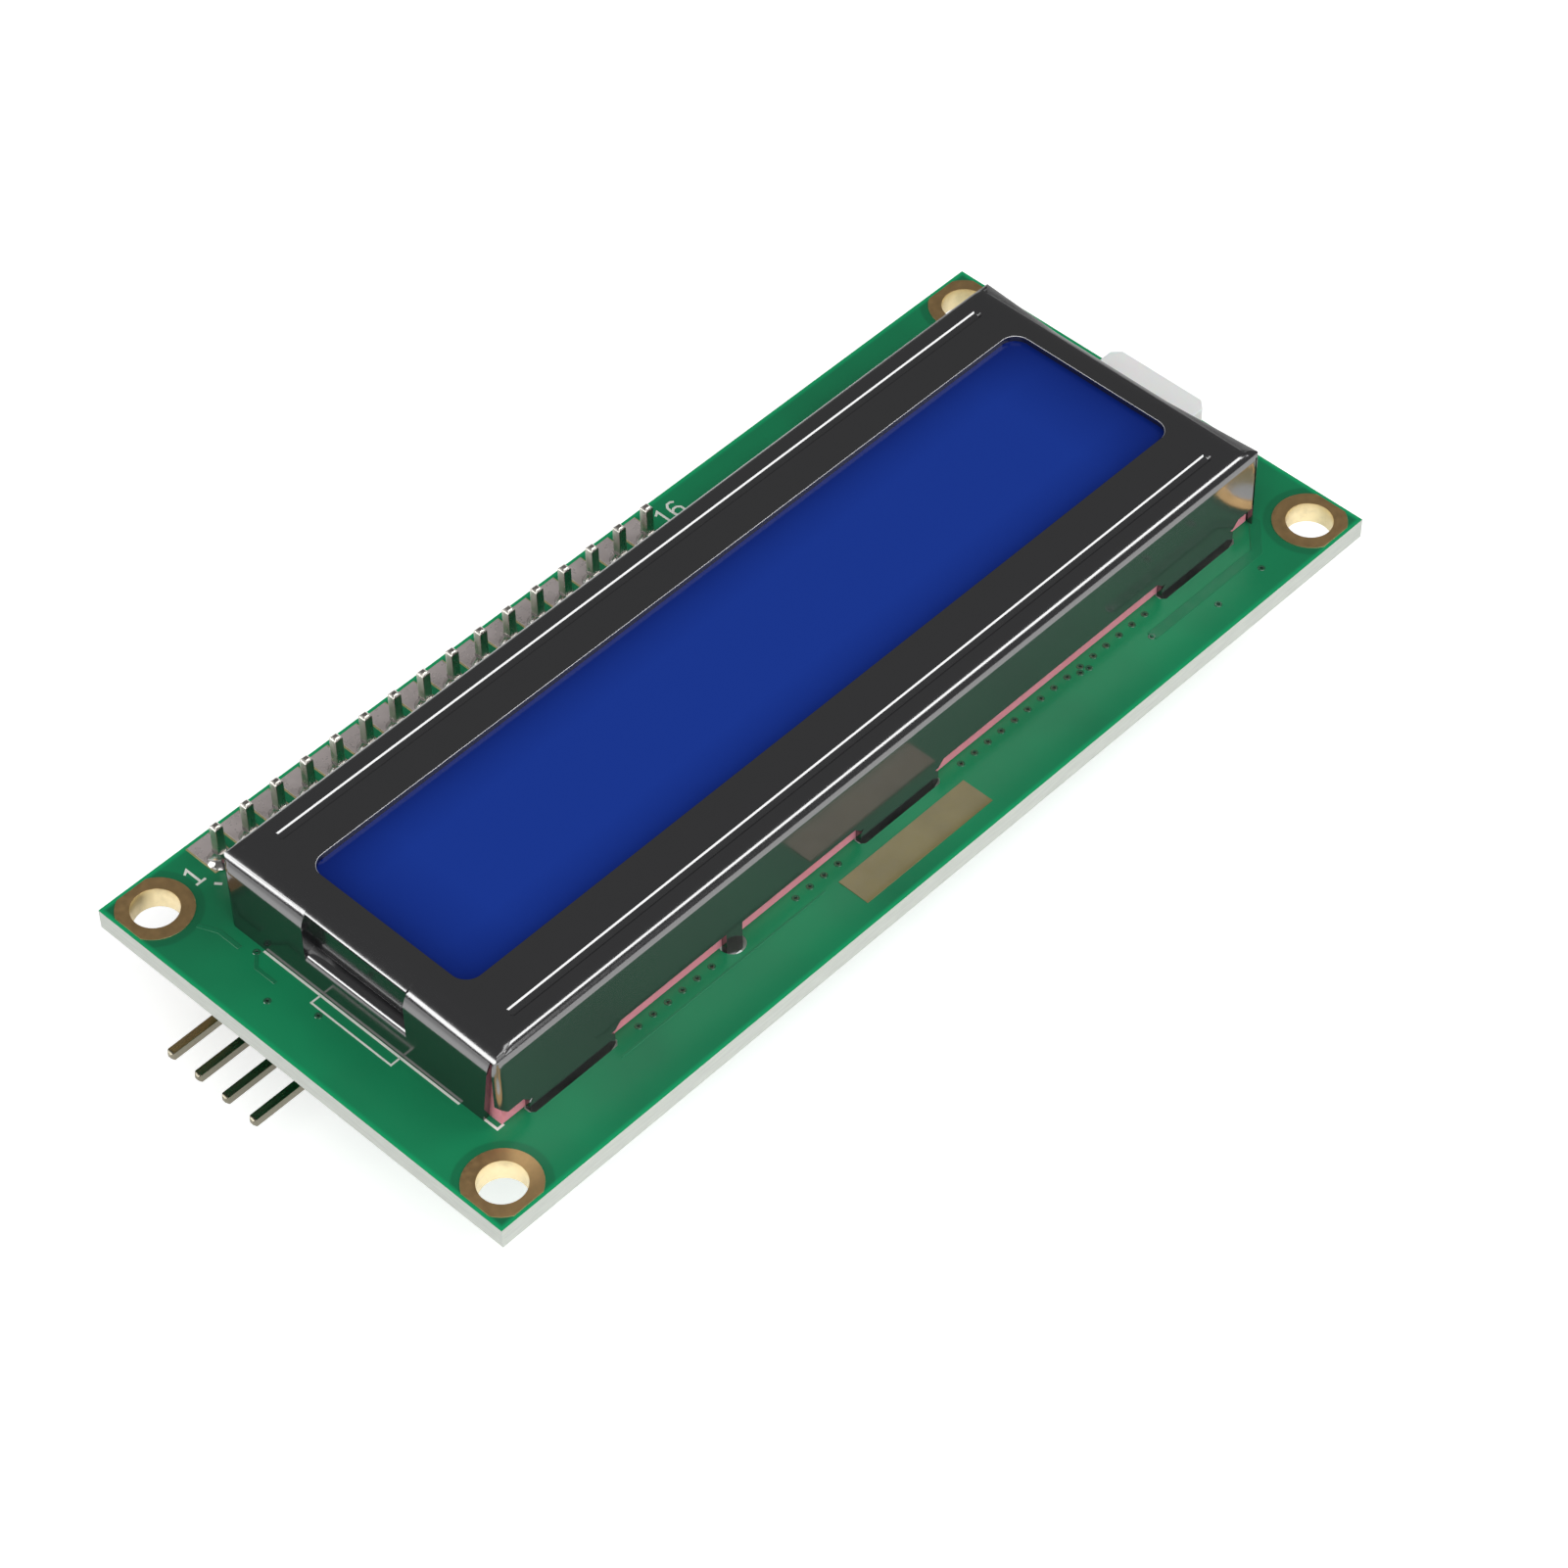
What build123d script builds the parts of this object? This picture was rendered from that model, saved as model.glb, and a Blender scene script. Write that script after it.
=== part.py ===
"""Character LCD module, two rows of sixteen characters, with a serial adapter behind it.

Frame: the origin is the centre of the four mounting holes on the front face of the main
board. +X runs along the board, +Y towards the row of sixteen pins, +Z out of the display.
"""
from build123d import *
import os

# Main board
board_length = 80.0
board_width = 36.0
board_thickness = 1.6
mount_inset = 2.5
mount_bore = 3.2
ring_diameter = 5.1
ring_edge_margin = 0.25
plating = 0.06

# Folded sheet bezel
bezel_length = 70.1
bezel_width = 24.2
bezel_height = 7.0
bezel_shift_y = -0.8
sheet = 0.45
bend_radius = 0.95
corner_radius = 0.6
window_end_margin = 2.85
window_side_margin = 5.15
window_radius = 1.2
window_shift_y = 0.2
bead_end_inset = 3.05
bead_width = 0.7
bead_depth = 0.2
bead_corner = 0.2
bead_slope = 45.0
bead_side_inset = 2.0
pocket_width = 8.95
pocket_shift_y = 0.42
pocket_bottom = 2.65
pocket_depth = 0.9
pocket_rise = 0.25
lip_inset = 0.4
slit_width = 0.15
slit_head = 0.25
slit_foot = 1.1
slit_top_drop = 0.7
skirt_lift = 1.6
skirt_corner = 0.7

# Feet of the bezel and their slots
foot_count = 3
foot_end_inset = 2.45
foot_width = 7.2
foot_corner = 0.8
foot_flare = 0.5
flare_angle = 45.0
foot_drop = 0.9
slot_end_gap = 0.15
slot_corner = 0.3
slot_width = 1.0
tab_width = 3.0
tab_gap = 0.1
tab_neck = 1.4
tab_height = 1.35
tab_twist = 38.0
pilot_foot_x = -15.0
pilot_foot_width = 1.4
pilot_hole = 1.8

# Glass cell
glass_thickness = 1.1
glass_end_gap = 0.4
glass_side_gap = 0.25
glass_corner = 0.4
polarizer_thickness = 0.2
polarizer_end_margin = 0.3
polarizer_side_margin = 2.7
zebra_width = 2.2
zebra_radius = 0.15
zebra_end_gap = 0.1
zebra_side_gap = 0.02

# Backlight
tray_end_gap = 0.7
tray_side_gap = 0.4
tray_wall = 0.9
tray_floor = 0.6
sheet_film = 0.1
diffuser_thickness = 0.15
tongue_width = 8.2
tongue_height = 3.6
tongue_proud = 3.45
tongue_corner = 0.6
tongue_shift_y = -0.7
tongue_wall = 0.8
fit_gap = 0.1
led_board_thickness = 0.6
led_count = 3
led_pitch = 2.1
led_width = 1.6
led_height = 1.2
led_depth = 0.9
terminal_side = 0.6
terminal_pitch = 2.54
terminal_top = 1.8
terminal_drop = 1.2

# Chips and small parts on the back of the main board
blob_radius = 6.2
blob_height = 1.3
blob_sides = 24
blob_shoulder_height = 0.6
blob_side_slope = 56.0
blob_top_slope = 71.0
blob_pitch = 28.0
blob_x = 2.0
blob_y = -2.5
chip_part_length = 2.0
chip_part_width = 1.25
chip_part_height = 0.5
chip_part_cap = 0.35
chip_part_skin = 0.03
board_resistor_count = 5
board_resistor_pitch = 3.2
board_resistor_x = 26.0
board_resistor_y = 6.5
board_capacitor_pitch = 4.0
board_capacitor_x = 2.0
board_capacitor_y = 7.0

# Row of sixteen pins
pin_pitch = 2.54
pin_side = 0.64
pin_point = 0.18
row_count = 16
row_inset_x = 8.0
row_inset_y = 2.5
row_pin_top = 3.35
row_pin_tail = 1.2
strip_height = 2.54
strip_width = 2.54
strip_notch = 0.55
pad_length = 2.85
pad_shift_y = 0.825
pad_width = 1.8
pad_corner = 0.45
pad_height = 0.12
solder_sides = 8
solder_radius = 0.85
solder_taper = 19.0
solder_height = 0.95

# Adapter board
adapter_end_margin = 1.7
adapter_width = 19.0
adapter_thickness = 1.6
adapter_edge = 1.9

# Four angled pins of the serial bus
bus_count = 4
bus_shift_y = -0.9
bus_row_inset = 2.1
angled_leg_gap = 1.5
angled_body = 2.54
angled_bend = 0.55
leg_proud = 1.15
bus_pin_reach = 5.86

# Expander chip
chip_length = 10.3
chip_width = 7.5
chip_height = 2.3
chip_standoff = 0.15
chip_inset_x = 13.2
chip_shift_y = -0.5
chip_draft = 7.0
chip_mark_inset = 1.4
chip_mark_radius = 0.5
chip_mark_depth = 0.1
lead_count = 8
lead_pitch = 1.27
lead_width = 0.42
lead_sheet = 0.25
lead_span = 10.3
lead_shoulder = 0.6

# Contrast trimmer
trimmer_inset_x = 14.3
trimmer_shift_y = -1.3
trimmer_side = 6.6
trimmer_height = 4.9
trimmer_base_thickness = 0.9
trimmer_face = 0.8
trimmer_cavity_radius = 2.45
trimmer_edge = 0.35
rotor_radius = 1.6
rotor_flange_radius = 2.38
rotor_flange = 0.8
rotor_stem_radius = 1.0
rotor_radial_gap = 0.06
rotor_end_gap = 0.05
rotor_slot = 0.55
rotor_slot_length = 2.4
rotor_slot_depth = 0.5
trimmer_pin_side = 0.5

# Backlight jumper
jumper_pin_reach = 6.0
jumper_row_inset = 2.1
cap_length = 6.8
cap_height = 2.5
cap_width = 5.0
cap_gap = 0.1
cap_edge = 0.25
contact_gap = 0.05
contact_sheet = 0.2
contact_seat = 0.03
contact_length = 6.1

# Small parts on the adapter
transistor_inset_x = 5.8
transistor_shift_y = 4.1
transistor_length = 2.9
transistor_width = 1.3
transistor_height = 1.0
transistor_lead_pitch = 0.95
lamp_inset_x = 4.5
lamp_inset_y = 2.4
led_lens_height = 0.35
column_resistor_count = 4
column_resistor_pitch = 2.4
column_resistor_inset_x = 21.2
column_resistor_shift_y = -1.9
pair_resistor_inset_x = 5.6
pair_resistor_inset_y = 4.6
adapter_capacitor_inset_x = 12.2
adapter_capacitor_inset_y = 1.9
adapter_capacitor_pitch = 5.0
capacitor_height = 0.9

# Worked out from the sizes above
display_y = bezel_shift_y
board_back = -board_thickness
plate_under = bezel_height - sheet
mount_spacing_x = board_length - 2 * mount_inset
mount_spacing_y = board_width - 2 * mount_inset
inner_length = bezel_length - 2 * sheet
inner_width = bezel_width - 2 * sheet
wall_mid_spacing = bezel_width - sheet
foot_pitch = (bezel_length - 2 * foot_end_inset - foot_width) / (foot_count - 1)
window_length = bezel_length - 2 * window_end_margin
window_width = bezel_width - 2 * window_side_margin
bead_length = bezel_length - 2 * bead_end_inset
bead_spacing = bezel_width - 2 * bead_side_inset
pocket_inner_length = inner_length - 2 * pocket_depth
pocket_y = display_y + pocket_shift_y
front_glass_length = pocket_inner_length - 2 * glass_end_gap
front_glass_width = inner_width - 2 * glass_side_gap
tray_length = pocket_inner_length - 2 * tray_end_gap
tray_width = inner_width - 2 * (zebra_side_gap + zebra_width + tray_side_gap)
polarizer_length = front_glass_length - 2 * polarizer_end_margin
front_polarizer_width = front_glass_width - 2 * polarizer_side_margin
front_polarizer_z = plate_under - polarizer_thickness
front_glass_z = front_polarizer_z - glass_thickness
rear_glass_z = front_glass_z - glass_thickness
rear_polarizer_z = rear_glass_z - polarizer_thickness
diffuser_z = rear_polarizer_z - diffuser_thickness
guide_z = tray_floor + sheet_film
row_first_x = row_inset_x - board_length / 2
row_y = board_width / 2 - row_inset_y
row_centre_x = row_first_x + (row_count - 1) * pin_pitch / 2
adapter_front = board_back - strip_height
adapter_back = adapter_front - adapter_thickness
adapter_length = (row_count - 1) * pin_pitch + 2 * adapter_end_margin
adapter_y = row_y + adapter_edge - adapter_width / 2
adapter_low_y = adapter_y - adapter_width / 2
adapter_left = row_centre_x - adapter_length / 2
adapter_right = row_centre_x + adapter_length / 2
angled_axis_z = adapter_back - angled_body / 2
bus_centre_y = adapter_y + bus_shift_y
bus_row_x = adapter_left + bus_row_inset
bus_body_x = bus_row_x - angled_leg_gap
bus_tip_x = bus_body_x - angled_body - bus_pin_reach
jumper_row_x = adapter_right - jumper_row_inset
jumper_body_x = jumper_row_x + angled_leg_gap
jumper_face_x = jumper_body_x + angled_body
jumper_tip_x = jumper_face_x + jumper_pin_reach
chip_x = adapter_left + chip_inset_x
chip_y = adapter_y + chip_shift_y
trimmer_x = adapter_right - trimmer_inset_x
trimmer_y = adapter_y + trimmer_shift_y
transistor_x = adapter_right - transistor_inset_x
transistor_y = adapter_y + transistor_shift_y
leg_top = adapter_front + leg_proud
tongue_y = display_y + tongue_shift_y
tongue_reach = bezel_length / 2 + tongue_proud
tongue_inner_end = tongue_reach - tongue_wall
terminal_x = tongue_inner_end - fit_gap - terminal_side / 2
led_board_x = terminal_x - terminal_side / 2 - led_board_thickness
led_face_x = led_board_x - led_depth
guide_end_x = led_face_x - fit_gap
cavity_width = tongue_width - 2 * tongue_wall
cavity_top = tongue_height - tongue_wall

os.makedirs("parts", exist_ok=True)


def keep(builder, name):
    """Label a finished piece and write it to its own file."""
    builder.part.label = name
    export_step(builder.part, "parts/" + name + ".step")


def plate(length, width, corner, base_z, thickness):
    """A flat plate with clipped corners, centred on the display."""
    with BuildPart() as flat:
        with BuildSketch(Plane.XY.offset(base_z)) as outline:
            with Locations((0, display_y)):
                Rectangle(length, width)
            chamfer(outline.vertices(), corner)
        extrude(amount=thickness)
    return flat


def solder_joints(places, face_z, side):
    """Tapered solder around square pins, standing on a board face."""
    with BuildPart() as joints:
        with BuildSketch(Plane.XY.offset(face_z)):
            with Locations(*places):
                RegularPolygon(solder_radius, solder_sides)
        extrude(amount=solder_height, taper=solder_taper)
        with BuildSketch(Plane.XY.offset(face_z)):
            with Locations(*places):
                Rectangle(side, side)
        extrude(amount=solder_height, mode=Mode.SUBTRACT)
    return joints


def hanging(builder, face_z):
    """The same shape turned over, so that it hangs under a board face."""
    with BuildPart() as turned:
        mirror(builder.part, about=Plane.XY.offset(face_z))
    return turned


def chip_parts(places, face_z, height):
    """Surface mounted resistors or capacitors hanging under a board face."""
    with BuildPart() as parts:
        with BuildSketch(Plane.XY.offset(face_z)):
            with Locations(*places):
                Rectangle(chip_part_length - 2 * chip_part_cap, chip_part_width)
        extrude(amount=-height)
        cap_centre = (chip_part_length - chip_part_cap) / 2
        with BuildSketch(Plane.XY.offset(face_z)):
            for x, y in places:
                with Locations((x - cap_centre, y), (x + cap_centre, y)):
                    Rectangle(chip_part_cap, chip_part_width + 2 * chip_part_skin)
        extrude(amount=-height - chip_part_skin)
    return parts


def row_places():
    """Centres of the sixteen pins."""
    return [(row_first_x + i * pin_pitch, row_y) for i in range(row_count)]


def column_places(x, centre_y, count, pitch):
    """Centres of a column of like things."""
    return [(x, centre_y + (i - (count - 1) / 2) * pitch) for i in range(count)]


bus_places = column_places(bus_row_x, bus_centre_y, bus_count, pin_pitch)
jumper_places = column_places(jumper_row_x, adapter_y, 2, pin_pitch)
terminal_places = column_places(terminal_x, tongue_y, 2, terminal_pitch)
trimmer_pin_places = [
    (trimmer_x - pin_pitch, trimmer_y),
    (trimmer_x + pin_pitch, trimmer_y),
    (trimmer_x, trimmer_y - pin_pitch),
]


# Main board: slots for the feet, the pilot hole, and holes for pins and terminals
with BuildPart() as main_board:
    with BuildSketch(Plane.XY.offset(board_back)):
        Rectangle(board_length, board_width)
        with GridLocations(mount_spacing_x, mount_spacing_y, 2, 2):
            Circle(mount_bore / 2 + plating, mode=Mode.SUBTRACT)
        with Locations((pilot_foot_x, display_y - wall_mid_spacing / 2)):
            Circle(pilot_hole / 2, mode=Mode.SUBTRACT)
        with Locations(*row_places()):
            Rectangle(pin_side, pin_side, mode=Mode.SUBTRACT)
        with Locations(*terminal_places):
            Rectangle(terminal_side, terminal_side, mode=Mode.SUBTRACT)
    extrude(amount=board_thickness)
    with BuildSketch(Plane.XY.offset(board_back)) as slots:
        with Locations((0, display_y)):
            with GridLocations(foot_pitch, wall_mid_spacing, foot_count, 2):
                Rectangle(foot_width + 2 * slot_end_gap, slot_width)
        chamfer(slots.vertices(), slot_corner)
    extrude(amount=board_thickness, mode=Mode.SUBTRACT)
keep(main_board, "main_board")

# Plated mounting holes: a barrel with a ring on each face, trimmed beside the board edge
with BuildPart() as mounting_hole_plating:
    for ring_z in (0, board_back - plating):
        with BuildSketch(Plane.XY.offset(ring_z)):
            with GridLocations(mount_spacing_x, mount_spacing_y, 2, 2):
                Circle(ring_diameter / 2)
            Rectangle(
                board_length - 2 * ring_edge_margin,
                board_width - 2 * ring_edge_margin,
                mode=Mode.INTERSECT,
            )
        extrude(amount=plating)
    with BuildSketch(Plane.XY.offset(board_back)):
        with GridLocations(mount_spacing_x, mount_spacing_y, 2, 2):
            Circle(mount_bore / 2 + plating)
    extrude(amount=board_thickness)
    with BuildSketch(Plane.XY.offset(board_back - plating)):
        with GridLocations(mount_spacing_x, mount_spacing_y, 2, 2):
            Circle(mount_bore / 2)
    extrude(amount=board_thickness + 2 * plating, mode=Mode.SUBTRACT)
keep(mounting_hole_plating, "mounting_hole_plating")

# Bezel: one folded sheet with a window, two beads, a pressed pocket, slit corners and feet
with BuildPart() as bezel_frame:
    with BuildSketch():
        with Locations((0, display_y)):
            Rectangle(bezel_length, bezel_width)
    extrude(amount=bezel_height)
    fillet(bezel_frame.edges().group_by(Axis.Z)[-1], bend_radius)
    with BuildSketch():
        with Locations((0, display_y)):
            RectangleRounded(bezel_length, bezel_width, corner_radius)
    extrude(amount=bezel_height, mode=Mode.INTERSECT)
    with BuildSketch():
        with Locations((0, display_y)):
            RectangleRounded(inner_length, inner_width, corner_radius - sheet)
    extrude(amount=plate_under, mode=Mode.SUBTRACT)

    # Square lip of the top plate over the pocket, then the wall pressed in behind it
    wall_out = -bezel_length / 2
    with BuildSketch(Plane.XY.offset(plate_under)):
        with Locations((wall_out, pocket_y)):
            Rectangle(bend_radius + sheet, pocket_width, align=(Align.MIN, Align.CENTER))
    extrude(amount=sheet)
    with BuildSketch(Plane.XZ.offset(-pocket_y)):
        with BuildLine():
            Polyline(
                (wall_out + sheet, plate_under),
                (wall_out + sheet, pocket_bottom - sheet),
                (wall_out + sheet + pocket_depth, pocket_bottom - sheet + pocket_rise),
                (wall_out + sheet + pocket_depth, plate_under),
                close=True,
            )
        make_face()
    extrude(amount=pocket_width / 2 + sheet, both=True)
    with BuildSketch(Plane.XZ.offset(-pocket_y)):
        with BuildLine():
            Polyline(
                (wall_out - sheet, bezel_height),
                (wall_out - sheet, pocket_bottom),
                (wall_out, pocket_bottom),
                (wall_out + pocket_depth, pocket_bottom + pocket_rise),
                (wall_out + pocket_depth, plate_under),
                (wall_out + lip_inset, plate_under),
                (wall_out + lip_inset, bezel_height),
                close=True,
            )
        make_face()
    extrude(amount=pocket_width / 2, both=True, mode=Mode.SUBTRACT)

    # Window over the glass
    with BuildSketch(Plane.XY.offset(bezel_height)):
        with Locations((0, display_y + window_shift_y)):
            RectangleRounded(window_length, window_width, window_radius)
    extrude(amount=-sheet, mode=Mode.SUBTRACT)

    # Two long beads pressed down to bear on the glass above the contact strips
    for face_z, bead_mode in ((plate_under, Mode.ADD), (bezel_height, Mode.SUBTRACT)):
        with BuildSketch(Plane.XY.offset(face_z)) as beads:
            with Locations((0, display_y)):
                with GridLocations(0, bead_spacing, 1, 2):
                    Rectangle(bead_length, bead_width)
            chamfer(beads.vertices(), bead_corner)
        extrude(amount=-bead_depth, taper=bead_slope, mode=bead_mode)

    # Open slits where the side walls meet: tapered in one end wall, narrow in the long wall
    slit_top = bezel_height - slit_top_drop
    for side in (-1, 1):
        slit_edge = display_y + side * inner_width / 2
        with BuildSketch(Plane.YZ.offset(side * inner_length / 2)):
            with BuildLine():
                Polyline(
                    (slit_edge, 0),
                    (slit_edge - side * slit_foot, 0),
                    (slit_edge - side * slit_head, slit_top),
                    (slit_edge, slit_top),
                    close=True,
                )
            make_face()
        extrude(amount=2 * sheet, both=True, mode=Mode.SUBTRACT)
    with BuildSketch():
        for side in (-1, 1):
            slit_x = side * (inner_length - slit_width) / 2
            with Locations((slit_x, display_y - side * wall_mid_spacing / 2)):
                Rectangle(slit_width, 2 * sheet)
    extrude(amount=slit_top, mode=Mode.SUBTRACT)

    # Lift the long walls clear of the board, then add the feet that enter the slots
    foot_height = skirt_lift + foot_drop
    for side_y in (-1, 1):
        wall_y = display_y + side_y * bezel_width / 2
        free_end = side_y * bezel_length / 2
        with BuildSketch(Plane.XZ.offset(-wall_y)):
            with BuildLine():
                Polyline(
                    (free_end, 0),
                    (free_end, skirt_lift + skirt_corner),
                    (free_end - side_y * skirt_corner, skirt_lift),
                    (-side_y * inner_length / 2, skirt_lift),
                    (-side_y * inner_length / 2, 0),
                    close=True,
                )
            make_face()
        extrude(amount=sheet, both=True, mode=Mode.SUBTRACT)
        with BuildSketch(Plane.XZ.offset(-wall_y)) as feet:
            with GridLocations(foot_pitch, 0, foot_count, 1):
                with Locations((0, -foot_drop)):
                    Rectangle(foot_width, foot_height, align=(Align.CENTER, Align.MIN))
            chamfer(feet.vertices().group_by(Axis.Z)[0], foot_corner)
            with GridLocations(foot_pitch, 0, foot_count, 1):
                with Locations((0, skirt_lift)):
                    Trapezoid(
                        foot_width + 2 * foot_flare,
                        foot_flare,
                        flare_angle,
                        rotation=180,
                        align=(Align.CENTER, Align.MIN),
                    )
        extrude(amount=side_y * sheet)
        with BuildSketch(Plane.XZ.offset(-wall_y)):
            with GridLocations(foot_pitch, 0, foot_count, 1):
                with Locations((0, board_back - tab_gap)):
                    Rectangle(
                        tab_neck,
                        board_thickness + tab_gap,
                        align=(Align.CENTER, Align.MIN),
                    )
        extrude(amount=side_y * sheet)
    with BuildSketch(Plane.XZ.offset(bezel_width / 2 - display_y)):
        with Locations((pilot_foot_x, -foot_drop)):
            Rectangle(pilot_foot_width, foot_height, align=(Align.CENTER, Align.MIN))
    extrude(amount=-sheet)

    # Behind the board each tab is twisted on its neck, which holds the bezel down
    with BuildSketch(Plane.XY.offset(board_back - tab_gap - tab_height)):
        with Locations((0, display_y)):
            with GridLocations(foot_pitch, wall_mid_spacing, foot_count, 2):
                Rectangle(tab_width, sheet, rotation=tab_twist)
    extrude(amount=tab_height)

    # Opening in the right wall for the end of the backlight
    with BuildSketch(Plane.YZ.offset(inner_length / 2 - sheet)):
        with Locations((tongue_y, 0)):
            Rectangle(
                tongue_width + 2 * fit_gap,
                tongue_height + fit_gap,
                align=(Align.CENTER, Align.MIN),
            )
    extrude(amount=4 * sheet, mode=Mode.SUBTRACT)
keep(bezel_frame, "bezel_frame")

# Glass cell, from the front
front_polarizer = plate(
    polarizer_length, front_polarizer_width, glass_corner, front_polarizer_z, polarizer_thickness
)
keep(front_polarizer, "front_polarizer")
front_glass = plate(
    front_glass_length, front_glass_width, glass_corner, front_glass_z, glass_thickness
)
keep(front_glass, "front_glass")
rear_glass = plate(
    front_glass_length, tray_width, glass_corner, rear_glass_z, glass_thickness
)
keep(rear_glass, "rear_glass")
rear_polarizer = plate(
    polarizer_length, tray_width, glass_corner, rear_polarizer_z, polarizer_thickness
)
keep(rear_polarizer, "rear_polarizer")

# Elastic contact strips between the glass ledges and the board
for strip_name, side_y in (("contact_strip_front", -1), ("contact_strip_rear", 1)):
    with BuildPart() as contact_strip:
        strip_mid = inner_width / 2 - zebra_side_gap - zebra_width / 2
        with BuildSketch(Plane.YZ.offset(-inner_length / 2 + zebra_end_gap)) as section:
            with Locations((display_y + side_y * strip_mid, 0)):
                Rectangle(zebra_width, front_glass_z, align=(Align.CENTER, Align.MIN))
            fillet(section.vertices(), zebra_radius)
        extrude(amount=inner_length - 2 * zebra_end_gap)
    keep(contact_strip, strip_name)

# Backlight tray with its long end box, hollow for the light guide and the lamps
with BuildPart() as backlight_tray:
    with BuildSketch():
        with Locations((0, display_y)):
            Rectangle(tray_length, tray_width)
    extrude(amount=rear_polarizer_z)
    with BuildSketch() as tongue:
        with Locations((0, tongue_y)):
            Rectangle(tongue_reach, tongue_width, align=(Align.MIN, Align.CENTER))
        chamfer(tongue.vertices().group_by(Axis.X)[-1], tongue_corner)
    extrude(amount=tongue_height)
    with BuildSketch(Plane.XY.offset(tray_floor)):
        with Locations((0, display_y)):
            Rectangle(tray_length - 2 * tray_wall, tray_width - 2 * tray_wall)
    extrude(amount=rear_polarizer_z - tray_floor, mode=Mode.SUBTRACT)
    with BuildSketch(Plane.XY.offset(tray_floor)):
        with Locations((0, tongue_y)):
            Rectangle(tongue_inner_end, cavity_width, align=(Align.MIN, Align.CENTER))
    extrude(amount=cavity_top - tray_floor, mode=Mode.SUBTRACT)
    with BuildSketch():
        with Locations(*terminal_places):
            Rectangle(terminal_side + fit_gap, terminal_side + fit_gap)
    extrude(amount=tray_floor, mode=Mode.SUBTRACT)
keep(backlight_tray, "backlight_tray")

inside_length = tray_length - 2 * tray_wall - 2 * fit_gap
inside_width = tray_width - 2 * tray_wall - 2 * fit_gap

with BuildPart() as reflector_film:
    with BuildSketch(Plane.XY.offset(tray_floor)):
        with Locations((0, display_y)):
            Rectangle(inside_length, inside_width)
    extrude(amount=sheet_film)
keep(reflector_film, "reflector_film")

with BuildPart() as light_guide:
    with BuildSketch(Plane.XY.offset(guide_z)):
        with Locations((0, display_y)):
            Rectangle(inside_length, inside_width)
    extrude(amount=diffuser_z - guide_z)
    with BuildSketch(Plane.XY.offset(guide_z)):
        with Locations((0, tongue_y)):
            Rectangle(guide_end_x, cavity_width - 2 * fit_gap, align=(Align.MIN, Align.CENTER))
    extrude(amount=cavity_top - fit_gap - guide_z)
keep(light_guide, "light_guide")

with BuildPart() as diffuser_film:
    with BuildSketch(Plane.XY.offset(diffuser_z)):
        with Locations((0, display_y)):
            Rectangle(inside_length, inside_width)
    extrude(amount=diffuser_thickness)
keep(diffuser_film, "diffuser_film")

with BuildPart() as lamp_board:
    with BuildSketch(Plane.YZ.offset(led_board_x)):
        with Locations((tongue_y, tray_floor)):
            Rectangle(
                cavity_width - 2 * fit_gap,
                cavity_top - tray_floor - fit_gap,
                align=(Align.CENTER, Align.MIN),
            )
    extrude(amount=led_board_thickness)
keep(lamp_board, "lamp_board")

with BuildPart() as backlight_lamps:
    with BuildSketch(Plane.YZ.offset(led_face_x)):
        with Locations((tongue_y, (tray_floor + cavity_top) / 2)):
            with GridLocations(led_pitch, 0, led_count, 1):
                Rectangle(led_width, led_height)
    extrude(amount=led_depth)
keep(backlight_lamps, "backlight_lamps")

with BuildPart() as backlight_terminals:
    with BuildSketch(Plane.XY.offset(board_back - terminal_drop)):
        with Locations(*terminal_places):
            Rectangle(terminal_side, terminal_side)
    extrude(amount=terminal_top + board_thickness + terminal_drop)
keep(backlight_terminals, "backlight_terminals")

terminal_joints = solder_joints(terminal_places, board_back, terminal_side)
terminal_solder = hanging(terminal_joints, board_back)
keep(terminal_solder, "terminal_solder")

# Resin domes over the controller and the segment driver, on the back of the board
for blob_name, side_x in (("controller_dome", -1), ("driver_dome", 1)):
    with BuildPart() as dome:
        with BuildSketch(Plane.XY.offset(board_back)):
            with Locations((blob_x + side_x * blob_pitch / 2, blob_y)):
                RegularPolygon(blob_radius, blob_sides)
        extrude(amount=blob_shoulder_height, taper=blob_side_slope)
        shoulder = dome.faces().sort_by(Axis.Z)[-1]
        extrude(shoulder, amount=blob_height - blob_shoulder_height, taper=blob_top_slope)
    keep(hanging(dome, board_back), blob_name)

board_resistor_places = column_places(
    board_resistor_x, board_resistor_y, board_resistor_count, board_resistor_pitch
)
board_resistors = chip_parts(board_resistor_places, board_back, chip_part_height)
keep(board_resistors, "board_resistors")
board_capacitor_places = column_places(
    board_capacitor_x, board_capacitor_y, 2, board_capacitor_pitch
)
board_capacitors = chip_parts(board_capacitor_places, board_back, capacitor_height)
keep(board_capacitors, "board_capacitors")

# Row of sixteen pins through both boards
row_bottom = adapter_back - row_pin_tail
with BuildPart() as header_pins:
    with BuildSketch(Plane.XY.offset(row_bottom)):
        with Locations(*row_places()):
            Rectangle(pin_side, pin_side)
    extrude(amount=row_pin_top - row_bottom)
    chamfer(header_pins.edges().group_by(Axis.Z)[-1], pin_point)
    chamfer(header_pins.edges().group_by(Axis.Z)[0], pin_point)
keep(header_pins, "header_pins")

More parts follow.
